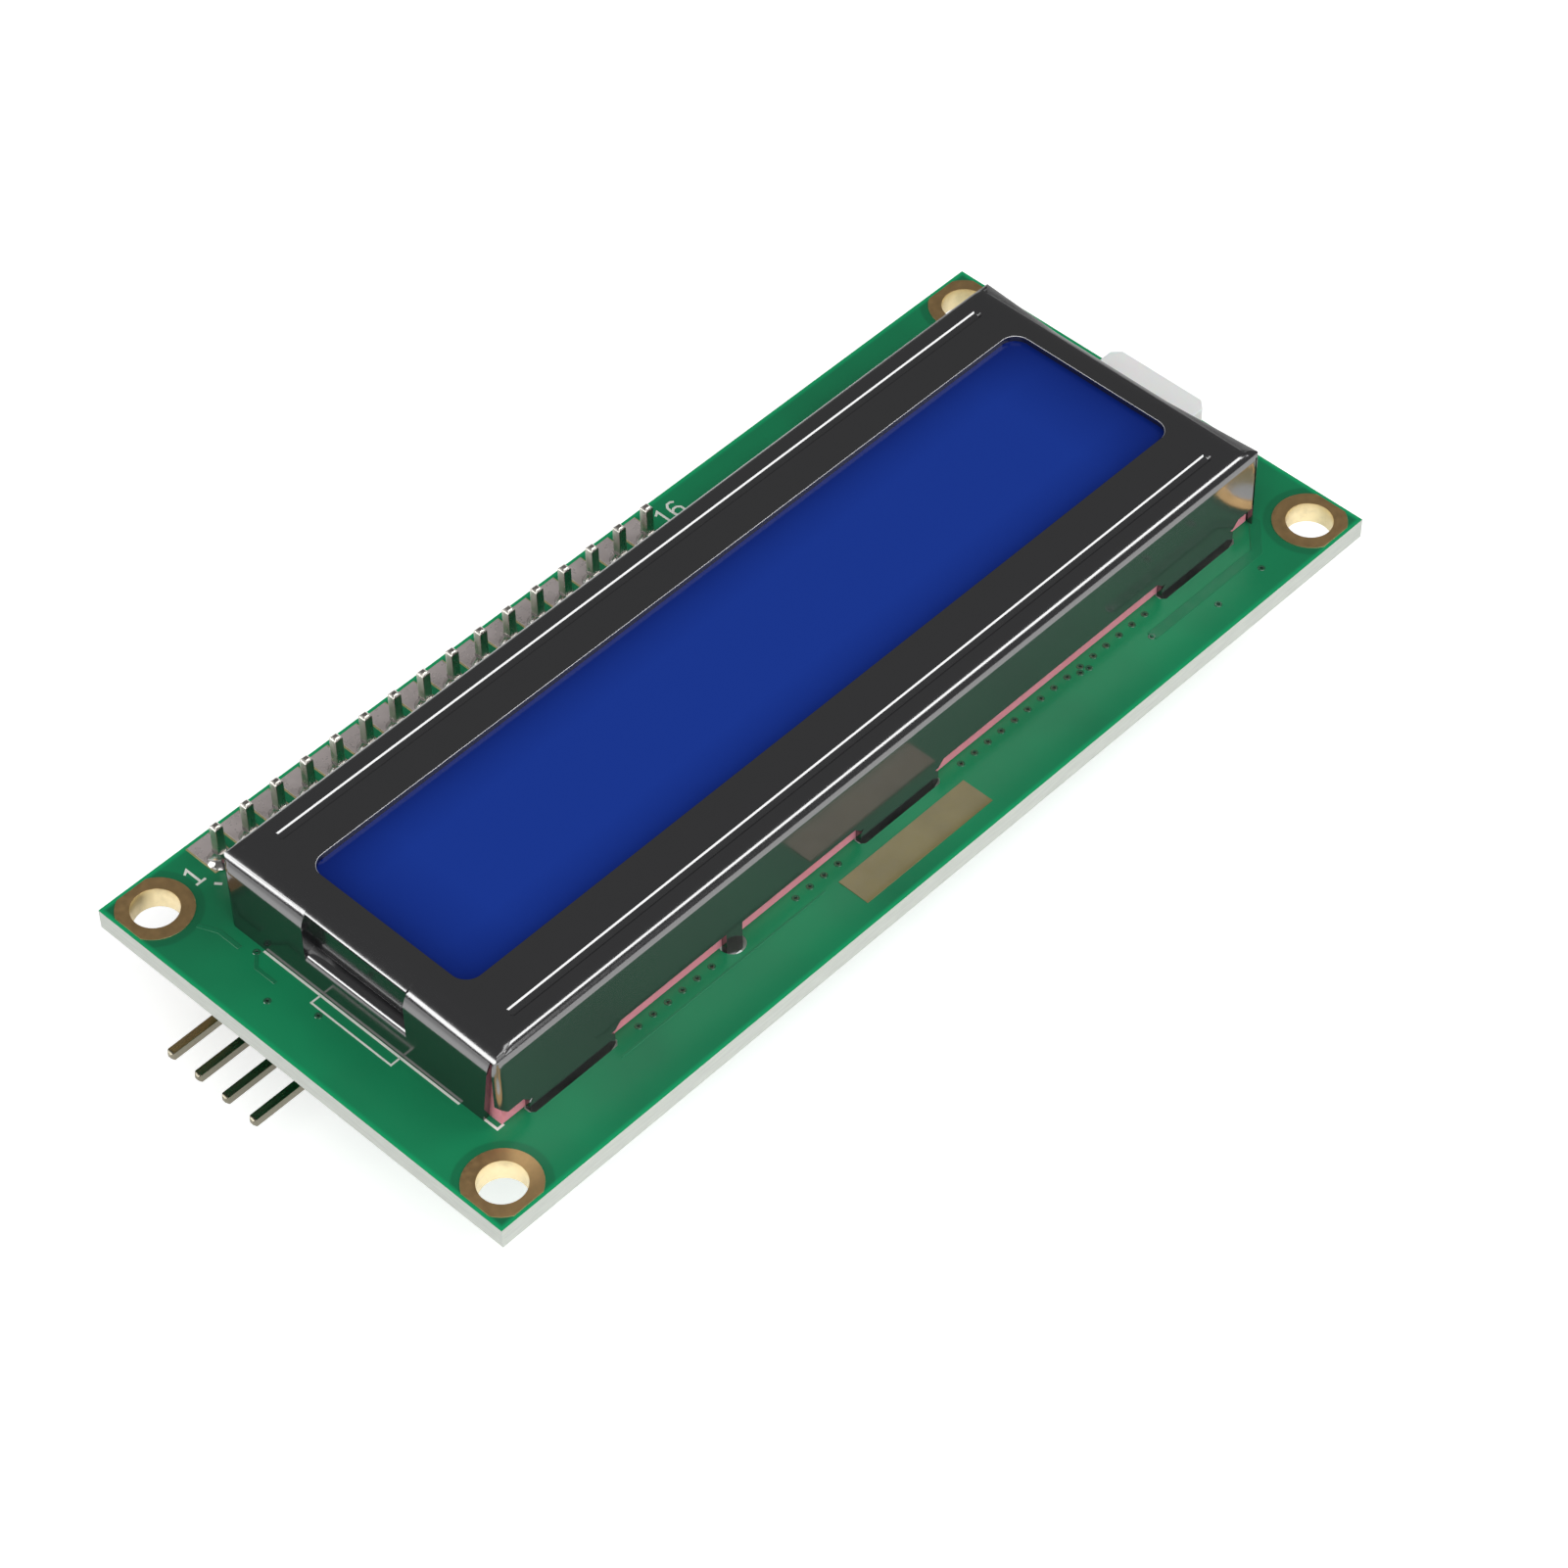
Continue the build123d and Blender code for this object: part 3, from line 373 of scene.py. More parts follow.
class Finish:
    """A material with its shader and a few shorthands for its nodes."""

    def __init__(self, name, colour, roughness, metallic=0.0, **sockets):
        self.material = bpy.data.materials.new(name)
        self.material.use_nodes = True
        self.tree = self.material.node_tree
        self.shader = self.tree.nodes["Principled BSDF"]
        self.shader.inputs["Base Color"].default_value = (*colour, 1)
        self.shader.inputs["Roughness"].default_value = roughness
        self.shader.inputs["Metallic"].default_value = metallic
        for socket, value in sockets.items():
            self.shader.inputs[socket.replace("_", " ")].default_value = value
        self.coords = self.node("TexCoord")

    def node(self, kind, **values):
        return add_node(self.tree, kind, **values)

    def link(self, source, target):
        self.tree.links.new(source, target)

    def math(self, operation, first, second=None, third=None):
        node = self.node("Math")
        node.operation = operation
        for socket, value in zip(node.inputs, (first, second, third)):
            if value is None:
                continue
            if isinstance(value, (int, float)):
                socket.default_value = value
            else:
                self.link(value, socket)
        return node.outputs[0]

    def split(self, vector):
        return self.node("SeparateXYZ", Vector=vector).outputs

    def ramp(self, value, low, high, low_out=0.0, high_out=1.0):
        return self.node(
            "MapRange", Value=value, From_Min=low, From_Max=high, To_Min=low_out, To_Max=high_out
        ).outputs["Result"]

    def mix(self, factor, first, second):
        node = self.node("Mix")
        node.data_type = "RGBA"
        colours = [s for s in node.inputs if s.type == "RGBA"]
        self.link(factor, node.inputs["Factor"])
        for socket, value in zip(colours, (first, second)):
            if isinstance(value, tuple):
                socket.default_value = (*value, 1)
            else:
                self.link(value, socket)
        return [s for s in node.outputs if s.type == "RGBA"][0]

    def noise(self, scale, detail=3.0, roughness=0.5, stretch=None):
        vector = self.coords.outputs["Object"]
        if stretch:
            vector = self.node("Mapping", Vector=vector, Scale=stretch).outputs["Vector"]
        return self.node(
            "TexNoise", Vector=vector, Scale=scale, Detail=detail, Roughness=roughness
        ).outputs["Fac"]

    def colour(self, source):
        self.link(source, self.shader.inputs["Base Color"])

    def bump(self, height, strength, distance):
        node = self.node("Bump", Height=height, Strength=strength, Distance=distance)
        self.link(node.outputs["Normal"], self.shader.inputs["Normal"])

    def rough(self, source, low, high):
        self.link(self.ramp(source, 0.3, 0.7, low, high), self.shader.inputs["Roughness"])


def shade(colour, factor):
    return tuple(min(1.0, part * factor) for part in colour)


def mottled(name, colour, roughness, metallic=0.0, scale=900.0, spread=0.12, bump=0.15,
            bump_depth=0.00002, rough_spread=0.08, stretch=None, **sockets):
    """A finish whose colour, gloss and surface vary a little, as a real one does."""
    finish = Finish(name, colour, roughness, metallic, **sockets)
    broad = finish.noise(scale * 0.25, 4.0, 0.55, stretch)
    fine = finish.noise(scale, 3.0, 0.6, stretch)
    finish.colour(
        finish.mix(
            finish.ramp(broad, 0.35, 0.65),
            shade(colour, 1 - spread),
            shade(colour, 1 + spread),
        )
    )
    finish.rough(fine, max(0.02, roughness - rough_spread), min(1.0, roughness + rough_spread))
    finish.bump(fine, bump, bump_depth)
    return finish


FINISHES = {}


def board_finish(name, mask, mask_copper, rim, laminate, node, rim_width, hole_inset):
    """Solder mask on the faces, laminate on the cut edges, and a bright rim near them.

    Round holes that sit hole_inset from two edges get a darker ring of bare laminate.
    """
    low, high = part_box(node)
    half_x, half_y = (high.x - low.x) / 2, (high.y - low.y) / 2
    centre = ((high.x + low.x) / 2, (high.y + low.y) / 2)
    finish = Finish(name, mask, 0.4, Coat_Weight=0.15, Coat_Roughness=0.3)
    place = finish.split(finish.coords.outputs["Object"])
    way = finish.split(finish.coords.outputs["Normal"])
    flat = finish.math("GREATER_THAN", finish.math("ABSOLUTE", way[2]), 0.6)
    from_x = finish.math("ABSOLUTE", finish.math("SUBTRACT", place[0], centre[0]))
    from_y = finish.math("ABSOLUTE", finish.math("SUBTRACT", place[1], centre[1]))
    near_edge = finish.math(
        "MAXIMUM",
        finish.math("SUBTRACT", from_x, half_x),
        finish.math("SUBTRACT", from_y, half_y),
    )
    broad = finish.noise(60.0, 3.0, 0.5)
    weave = finish.noise(1400.0, 2.0, 0.5)
    green = finish.mix(finish.ramp(broad, 0.35, 0.65), mask_copper, mask)
    if hole_inset:
        from_hole = [
            finish.math("SUBTRACT", from_x, half_x - hole_inset),
            finish.math("SUBTRACT", from_y, half_y - hole_inset),
        ]
        squares = [finish.math("MULTIPLY", part, part) for part in from_hole]
        away = finish.math("SQRT", finish.math("ADD", *squares))
        bare = finish.ramp(away, 3.05 * MM, 3.2 * MM, 0.45, 0.0)
        green = finish.mix(bare, green, shade(mask_copper, 0.55))
    green = finish.mix(finish.ramp(near_edge, -rim_width, -rim_width * 0.4), green, rim)
    glass = finish.mix(
        finish.ramp(finish.noise(500.0, 3.0, 0.6, (1, 1, 9)), 0.35, 0.65),
        shade(laminate, 0.93),
        shade(laminate, 1.03),
    )
    finish.colour(finish.mix(flat, glass, green))
    finish.link(
        finish.math("MULTIPLY_ADD", flat, -0.22, 0.62), finish.shader.inputs["Roughness"]
    )
    finish.bump(weave, 0.12, 0.00003)
    return finish


# For each key: name, colour, roughness, scale, spread, bump and other settings. The colour is
# screen values, or the property group and name of the property that holds it.
MOTTLED = {
    "ink": ("legend ink", "lcd_board.print_ink", 0.6, 2600.0, 0.05, 0.3, {}),
    "via": ("masked via", (34, 92, 64), 0.18, 2000.0, 0.1, 0.15,
        dict(Coat_Weight=0.8, Coat_Roughness=0.05)),
    # Dark disc in the middle of each via: painted shade of the hole
    "via hole": ("via hole", (12, 44, 32), 0.3, 2000.0, 0.12, 0.15, {}),
    "label gold": ("masked gold field", (122, 112, 70), 0.36, 1500.0, 0.08, 0.15,
        dict(Coat_Weight=0.6, Coat_Roughness=0.12)),
    "bezel": ("black bezel", "lcd_metal.bezel", 0.14, 1800.0, 0.02, 0.03,
        dict(bump_depth=0.000006, rough_spread=0.02, IOR=2.5)),
    "cut steel and painted highlight": ("cut sheet edge", "lcd_metal.cut_edge", 0.4, 3500.0, 0.06, 0.15,
        dict(metallic=0.2, rough_spread=0.05, stretch=(0.15, 0.15, 4))),
    "tin": ("tinned metal", "lcd_metal.tin", 0.3, 1600.0, 0.12, 0.2,
        dict(metallic=1.0, stretch=(1, 1, 0.25))),
    # Darker copy of the tin for the bus pins: painted shade from the board above them
    "tin in painted shade": ("dull tinned metal", (132, 127, 112), 0.26, 1600.0, 0.12, 0.2,
        dict(metallic=1.0, stretch=(0.25, 1, 1))),
    "solder": ("solder", "lcd_metal.solder", 0.2, 1300.0, 0.1, 0.45,
        dict(metallic=0.92, bump_depth=0.00004, rough_spread=0.1)),
    "dull solder": ("solder with flux", (206, 196, 194), 0.3, 1100.0, 0.1, 0.4,
        dict(metallic=0.35, bump_depth=0.00004, Coat_Weight=0.4, Coat_Roughness=0.1)),
    "bare pad": ("bare pad edge", (188, 176, 128), 0.4, 1500.0, 0.08, 0.15, dict(metallic=0.3)),
    "glass": ("clear glass", (206, 222, 216), 0.05, 400.0, 0.02, 0.02,
        dict(rough_spread=0.02, Transmission_Weight=0.9, IOR=1.5)),
    "grey film": ("grey film", (120, 122, 124), 0.35, 2400.0, 0.05, 0.1, {}),
    "silicone": ("pink silicone", "lcd_display.silicone", 0.48, 1500.0, 0.05, 0.2,
        dict(Subsurface_Weight=0.15, Subsurface_Scale=0.0006)),
    "light box": ("milky plastic", "lcd_display.light_box", 0.4, 900.0, 0.02, 0.12,
        dict(Subsurface_Weight=0.2, Subsurface_Scale=0.001)),
    "white film": ("white film", (235, 235, 232), 0.5, 2600.0, 0.02, 0.15, {}),
    "clear acrylic": ("clear acrylic", (226, 232, 232), 0.08, 600.0, 0.02, 0.03,
        dict(Transmission_Weight=0.85, IOR=1.49)),
    "pale board": ("pale board", (214, 208, 182), 0.55, 1200.0, 0.05, 0.15, {}),
    "lamp white": ("lamp white", (238, 236, 214), 0.35, 1600.0, 0.03, 0.15, {}),
    "resin": ("black resin", (24, 24, 25), 0.34, 380.0, 0.25, 0.5,
        dict(bump_depth=0.00012, rough_spread=0.12, Coat_Weight=0.2, Coat_Roughness=0.2)),
    "chip black": ("moulded black", (30, 30, 31), 0.5, 3200.0, 0.18, 0.4, {}),
    "nylon": ("black nylon", (22, 22, 23), 0.42, 1500.0, 0.15, 0.3, {}),
    "cap plastic": ("cap plastic", (26, 26, 28), 0.36, 1200.0, 0.15, 0.25, {}),
    "resistor": ("resistor glaze", (20, 20, 22), 0.28, 1800.0, 0.15, 0.15, {}),
    "capacitor": ("capacitor ceramic", (158, 124, 88), 0.5, 2200.0, 0.08, 0.3, {}),
    "trimmer blue": ("trimmer blue", (24, 78, 168), 0.38, 1300.0, 0.06, 0.2,
        dict(Subsurface_Weight=0.05, Subsurface_Scale=0.0004)),
    "rotor white": ("rotor white", (226, 224, 214), 0.42, 1500.0, 0.04, 0.2, {}),
    "bronze": ("bronze clip", (204, 156, 92), 0.3, 1500.0, 0.1, 0.15, dict(metallic=1.0)),
    "red lens": ("red lens", (196, 30, 26), 0.2, 900.0, 0.06, 0.15,
        dict(Coat_Weight=0.5, Coat_Roughness=0.05)),
}


def gold_finish(metal):
    """Bronze tinted rings, with paler gold painted on the barrels and side faces as a highlight.
    """
    bronze, pale = tuple(metal.ring), tuple(metal.barrel_highlight)
    ring = Finish("gold plating", bronze, 0.3, metallic=1.0)
    way = ring.split(ring.coords.outputs["Normal"])
    flat = ring.math("GREATER_THAN", ring.math("ABSOLUTE", way[2]), 0.6)
    grain = ring.noise(2200.0, 4.0, 0.6)
    spots = ring.noise(900.0, 5.0, 0.7)
    face = ring.mix(ring.ramp(spots, 0.3, 0.7), shade(bronze, 0.92), shade(bronze, 1.06))
    # Faces that are not flat get the paler gold: a painted highlight
    barrel_highlight = ring.mix(ring.ramp(spots, 0.25, 0.5), shade(pale, 0.8), pale)
    ring.colour(ring.mix(flat, barrel_highlight, face))
    ring.rough(grain, 0.34, 0.46)
    ring.bump(grain, 0.12, 0.00001)
    return ring


def display_finish(display):
    """Blue film with painted shade that darkens it towards the edges of the window."""
    low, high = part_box("front_polarizer")
    blue = Finish("blue display film", tuple(display.blue), 0.2, IOR=1.3)
    place = blue.split(blue.coords.outputs["Object"])
    centre_y = (low.y + high.y) / 2 + 0.2 * MM
    gap_x = blue.math("SUBTRACT", WINDOW_HALF_X * MM, blue.math("ABSOLUTE", place[0]))
    gap_y = blue.math(
        "SUBTRACT",
        WINDOW_HALF_Y * MM,
        blue.math("ABSOLUTE", blue.math("SUBTRACT", place[1], centre_y)),
    )
    # Painted shade: the film darkens towards the window edges
    near = blue.ramp(gap_x, 0.0, display.fade)
    near_y = blue.ramp(gap_y, 0.0, display.fade * 0.62)
    unshaded_share = blue.math("POWER", blue.math("MULTIPLY", near, near_y), 0.45)
    grain = blue.noise(2600.0, 2.0, 0.5)
    blue.colour(blue.mix(unshaded_share, tuple(display.blue_painted_shade), tuple(display.blue)))
    blue.rough(grain, 0.14, 0.2)
    blue.bump(grain, 0.04, 0.000006)
    return blue


def make_finishes():
    """Every finish of the object, kept by name."""
    board = settings("lcd_board")
    dark, copper = tuple(board.dark_mask), tuple(board.mask_copper)
    FINISHES["mask"] = board_finish(
        "green solder mask", tuple(board.mask), copper, tuple(board.mask_rim),
        tuple(board.laminate), "main_board", board.rim_width, hole_inset=2.5 * MM,
    )
    FINISHES["dark mask"] = board_finish(
        "dark solder mask", dark, shade(dark, 0.7), shade(dark, 1.6),
        linear(150, 146, 120), "adapter_board", board.rim_width, hole_inset=0.0,
    )
    FINISHES["mask on tracks"] = mottled(
        "mask over tracks", shade(copper, 1.05), 0.4, scale=1200.0,
        spread=0.06, Coat_Weight=0.15, Coat_Roughness=0.3,
    )
    FINISHES["gold"] = gold_finish(settings("lcd_metal"))
    FINISHES["display"] = display_finish(settings("lcd_display"))
    for key, (name, colour, roughness, scale, spread, bump, rest) in MOTTLED.items():
        if isinstance(colour, str):
            group, held = colour.split(".")
            colour = tuple(getattr(settings(group), held))
        else:
            colour = linear(*colour)
        FINISHES[key] = mottled(
            name, colour, roughness, scale=scale, spread=spread, bump=bump, **rest
        )


def material(key):
    return FINISHES[key].material


PLAIN_NODES = {
    "mask": ("main_board",),
    "dark mask": ("adapter_board",),
    "display": ("front_polarizer",),
    "glass": ("front_glass", "rear_glass"),
    "grey film": ("rear_polarizer",),
    "silicone": ("contact_strip_front", "contact_strip_rear"),
    "clear acrylic": ("light_guide",),
    "white film": ("diffuser_film", "reflector_film"),
    "pale board": ("lamp_board",),
    "lamp white": ("backlight_lamps",),
    "tin": (
        "backlight_terminals", "trimmer_pins", "expander_leads", "transistor_leads",
        "jumper_pins",
    ),
    "solder": ("adapter_pin_solder",),
    "chip black": ("switch_transistor", "trimmer_base"),
    "bronze": ("jumper_cap_clip",),
    "red lens": ("power_lamp",),
}


class LCD_OT_node_finishes(bpy.types.Operator):
    """Give the solids that keep their own shape their finishes"""

    bl_idname = "lcd.node_finishes"
    bl_label = "Finishes of the solids"

    def execute(self, context):
        make_finishes()
        for key, nodes in PLAIN_NODES.items():
            for node in nodes:
                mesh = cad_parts[node].data
                mesh.materials.clear()
                mesh.materials.append(material(key))
        return {"FINISHED"}


class LCD_OT_bezel(bpy.types.Operator):
    """The folded black sheet with rolled ends, and near-white punched edges on the far side of its
    window: bare steel, and partly a painted highlight
    """

    bl_idname = "lcd.bezel"
    bl_label = "Bezel"

    walls_y = (-12.9, 11.3)
    window_y = -0.6
    far_window = (31.0, 5.8)
    beads_y = (-10.9, 9.3)
    bead_depths = (0.15, 0.25)
    bead_half_length = 33
    bead_flank = 0.3
    bead_shift = Vector((0, 0.09, 0.13))
    pocket_y = (-4.9, 4.12)
    pocket_cuts = (-5.3, -4.855, 4.095, 4.55)
    pocket_rim = ((0.01, 0.95), (-4.87, 4.11), (2.4, 7.02))
    bend_cuts = (0.0, 6.5, 13.0, 19.5, 26.0)
    lip_turns = (20.0, 41.0, 53.0, 90.0)
    ledge_z = 2.65

    def execute(self, context):
        metal = settings("lcd_metal")
        low, high = (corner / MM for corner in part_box("bezel_frame"))
        wide = metal.end_bend / MM
        narrow = metal.side_bend / MM
        low.y, high.y = self.walls_y

        sheet = solid_copy("bezel_frame")
        self.roll_ends(sheet, low, high, wide, narrow)
        self.slope_beads(sheet, high)
        # The far rim of the window gets a chamfer in near-white cut steel: bare punched edge, and
        # partly a painted highlight
        chosen = sharp_edges(sheet, lambda e: self.on_far_window(e, high))
        before = set(sheet.faces)
        round_edges(sheet, chosen, metal.window_burr / MM, 1)
        for face in set(sheet.faces) - before:
            if 0.3 < face.normal.z < 0.95:
                face.material_index = 1
        round_edges(sheet, sharp_edges(sheet, lambda e: self.on_ledge(e, low)),
                    metal.ledge_round / MM, 8)
        round_edges(sheet, sharp_edges(sheet, lambda e: self.on_pocket(e, low)),
                    metal.pocket_round / MM, 4)
        round_edges(sheet, sharp_edges(sheet), metal.edge_round / MM)
        piece = finish_piece(
            "bezel_sheet", sheet, [material("bezel"), material("cut steel and painted highlight")],
            sharp=30.0, recalc=False,
        )
        piece.modifiers.clear()
        self.shade_bends(piece.data, low * MM, high * MM, wide * MM, narrow * MM)
        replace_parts(piece, "bezel_frame")
        return {"FINISHED"}

    def roll_ends(self, sheet, low, high, wide, narrow):
        """Turn the tight bends at the two ends into wider ones."""
        flat = wide - narrow
        axis_z = high.z - wide
        for place_y in self.pocket_cuts:
            cut(sheet, (0, place_y, 0), (0, 1, 0))
        for side, end in ((-1, low.x), (1, high.x)):
            axis_x = end - side * wide
            for turn in self.bend_cuts:
                reach = wide * math.tan(math.radians(turn))
                cut(sheet, (axis_x + side * reach, 0, 0), (1, 0, 0))
                cut(sheet, (0, 0, axis_z + reach), (0, 0, 1))
            for vert in sheet.verts:
                out, rise = side * (vert.co.x - axis_x), vert.co.z - axis_z
                at_pocket = side < 0 and self.pocket_y[0] < vert.co.y < self.pocket_y[1]
                if out <= 0 or rise <= 0 or (at_pocket and math.hypot(out, rise) < wide):
                    continue
                turn = math.atan2(out, rise)
                if math.tan(turn) < flat / wide:
                    reach = wide / math.cos(turn)
                elif math.tan(turn) > wide / flat:
                    reach = wide / math.sin(turn)
                else:
                    half = flat * (math.sin(turn) + math.cos(turn))
                    reach = half + math.sqrt(half * half - 2 * flat * flat + narrow * narrow)
                inside = min(vert.co.y - low.y, high.y - vert.co.y)
                fade = max(0.0, min(1.0, inside / narrow))
                kept = math.hypot(out, rise) - (reach - wide) * fade
                if at_pocket:
                    turn = self.past_lip(turn)
                vert.co.x = axis_x + side * kept * math.sin(turn)
                vert.co.z = axis_z + kept * math.cos(turn)

    def past_lip(self, turn):
        """Draw the lip over the pocket further down the bend."""
        start, lip, drawn, end = map(math.radians, self.lip_turns)
        if turn <= start:
            return turn
        if turn < lip:
            return start + (turn - start) * (drawn - start) / (lip - start)
        return drawn + (turn - lip) * (end - drawn) / (end - lip)

    def slope_beads(self, sheet, high):
        """Ease the far flank of each pressed bead."""
        for vert in sheet.verts:
            deep = self.bead_depths[0] < high.z - vert.co.z < self.bead_depths[1]
            if not (deep and abs(vert.co.x) < self.bead_half_length):
                continue
            for bead_y in self.beads_y:
                if 0.0 < vert.co.y - bead_y < self.bead_flank:
                    vert.co += self.bead_shift

    def on_far_window(self, edge, high):
        """Whether an edge is the upper rim of the window on its far side."""
        for vert in edge.verts:
            x, y, z = vert.co
            out_x = abs(x) > WINDOW_HALF_X + 0.05
            out_y = abs(y - self.window_y) > WINDOW_HALF_Y + 0.05
            if abs(z - high.z) > 0.001 or out_x or out_y:
                return False
            if not (x > self.far_window[0] or y > self.window_y + self.far_window[1]):
                return False
        return True

    def on_ledge(self, edge, low):
        """Whether an edge is the outer one of the ledge under the pocket."""
        first, second = (vert.co for vert in edge.verts)
        level = abs(first.z - second.z) < 0.01 and abs(first.z - self.ledge_z) < 0.01
        outer = max(abs(first.x - low.x), abs(second.x - low.x)) < 0.01
        start, end = sorted((first.y, second.y))
        return level and outer and self.pocket_y[0] < start < end < self.pocket_y[1]

    def on_pocket(self, edge, low):
        """Whether an edge belongs to the rim or the ledge of the pressed pocket."""
        (rim, depth), (start, end), (bottom, top) = self.pocket_rim
        for vert in edge.verts:
            x, y, z = vert.co
            if not (start < y < end and -rim < x - low.x < depth and bottom < z < top):
                return False
        return True

    def shade_bends(self, mesh, low, high, wide, narrow):
        """Exact shading along the outer bends, where facets are long and thin."""
        normals = [tuple(corner.vector) for corner in mesh.corner_normals]
        for face in mesh.polygons:
            across = 0 if abs(face.normal.x) > abs(face.normal.y) else 1
            radius = (wide, narrow)[across]
            side = 1 if face.normal[across] > 0 else -1
            axis = (high if side > 0 else low)[across] - side * radius
            axis_z = high.z - radius
            on_bend = (
                abs(face.normal[1 - across]) < 0.05
                and 0.02 < face.normal.z < 0.9998
                and side * (face.center[across] - axis) > 0
                and face.center.z > axis_z
            )
            for loop in face.loop_indices:
                place = mesh.vertices[mesh.loops[loop].vertex_index].co
                if on_bend:
                    normal = Vector((0, 0, max(0.0, place.z - axis_z)))
                    normal[across] = side * max(0.0, side * (place[across] - axis))
                    normals[loop] = tuple(normal.normalized())
                elif face.area > (0.2 if max(map(abs, face.normal)) > 0.9995 else 2.0) * MM * MM:
                    normals[loop] = tuple(face.normal)
        mesh.normals_split_custom_set(normals)


class LCD_OT_fittings(bpy.types.Operator):
    """Hole plating, pins, plastic blocks and other solids with rounded edges"""

    bl_idname = "lcd.fittings"
    bl_label = "Rings, pins and blocks"

    def execute(self, context):
        for name, node, key, slot, body, edge in (
            ("hole_rings", "mounting_hole_plating", "gold", "gold_plating", "module", 0.02),
            ("pin_row", "header_pins", "tin", "tinned_metal", "module", 0.04),
            # The bus pins take the darker tin: painted shade
            ("bus_pins", "bus_header_pins", "tin in painted shade", "tinned_metal", "module", 0.05),
            ("pin_row_strip", "header_strip", "nylon", "black_nylon", "module", 0.05),
            ("bus_block", "bus_header_body", "nylon", "black_nylon", "module", 0.05),
            ("jumper_block", "jumper_header_body", "nylon", "black_nylon", "module", 0.05),
            ("backlight_box", "backlight_tray", "light box", "white_plastic", "module", 0.08),
            ("serial_chip", "expander_chip", "chip black", "chip_black", "module", 0.06),
            ("trimmer_case", "trimmer_housing", "trimmer blue", "trimmer_blue", "module", 0.06),
            ("trimmer_dial", "trimmer_rotor", "rotor white", "rotor_white", "contrast_rotor",
             0.03),
            ("jumper_shell", "jumper_cap_shell", "cap plastic", "cap_plastic", "jumper_cap",
             0.08),
        ):
            refined(name, node, [material(key)], body, edge=edge)
        for place in ("board", "adapter"):
            capped(f"{place}_chip_resistors", f"{place}_resistors", "resistor")
            capped(
                f"{place}_chip_capacitors", f"{place}_capacitors", "capacitor"
            )
        return {"FINISHED"}


def pin_places():
    """Centres of the sixteen pins, in millimetres."""
    low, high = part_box("header_pins")
    first = low.x / MM + 0.32
    row_y = (low.y + high.y) / 2 / MM
    return [(first + i * PITCH, row_y) for i in range(16)]


def solder_profile(radius, neck, height):
    """A hollow curve from the pad up to the pin."""
    bend = []
    count = 7
    for i in range(count + 1):
        part = i / count
        bend.append((neck + (radius - neck) * (1 - part) ** 2.1, height * part))
    return bend


class LCD_OT_solder(bpy.types.Operator):
    """Solder joints with hollow flanks on both boards, and the solder coat of the pads"""

    bl_idname = "lcd.solder"
    bl_label = "Solder"

    def execute(self, context):
        sizes = settings("lcd_solder")
        radius = sizes.joint_radius / MM
        neck = sizes.neck_radius / MM
        height = sizes.joint_height / MM
        pad_top = sizes.pad_height / MM
        low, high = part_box("header_solder_front")
        places = pin_places()

        pads = bmesh.new()
        far_y = high.y / MM
        near_y = low.y / MM + 0.25
        pad_middle = (far_y + near_y) / 2
        for x, y in places:
            block(
                pads,
                (x, pad_middle, pad_top / 2),
                (1.78, far_y - near_y - 0.12, pad_top),
                edge=0.05,
            )
            block(
                pads, (x, pad_middle, 0.015), (1.98, far_y - near_y, 0.03), edge=0.01,
                segments=1, material=1,
            )
            block(
                pads, (x, near_y + 0.2, pad_top / 2 + 0.05), (1.72, 0.28, pad_top + 0.1),
                edge=0.09, segments=4, material=2,
            )
        coat = finish_piece(
            "pad_coats",
            pads,
            [material("dull solder"), material("bare pad"), material("solder")],
        )

        joints = bmesh.new()
        for i, (x, y) in enumerate(places):
            swell = 1.0 if i else 1.12
            profile = solder_profile(radius * swell, neck, height)
            top_radius = profile[-1][0]
            spun(
                joints,
                [(0.0, 0.0)] + profile + [(top_radius * 0.6, height + 0.03), (0.0, height + 0.04)],
                (x, y, pad_top * 0.6),
                sizes.steps,
            )
        front = finish_piece("front_joints", joints, [material("solder")])
        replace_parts(coat, "header_solder_front")
        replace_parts(front, "header_solder_front")

        low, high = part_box("terminal_solder")
        x, middle = (low.x + high.x) / 2 / MM, (low.y + high.y) / 2 / MM
        terminals = [(x, middle - PITCH / 2), (x, middle + PITCH / 2)]
        flank = [(r, -h) for r, h in solder_profile(radius, neck, height)]
        for name, node, spots, face_z in (
            ("rear_joints", "header_solder_rear", places, ADAPTER_BACK),
            ("terminal_joints", "terminal_solder", terminals, BOARD_BACK),
        ):
            under = bmesh.new()
            for x, y in spots:
                spun(
                    under,
                    [(0.0, 0.0)] + flank + [(0.0, -height - 0.04)],
                    (x, y, face_z),
                    sizes.steps,
                )
            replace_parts(finish_piece(name, under, [material("solder")]), node)
        return {"FINISHED"}


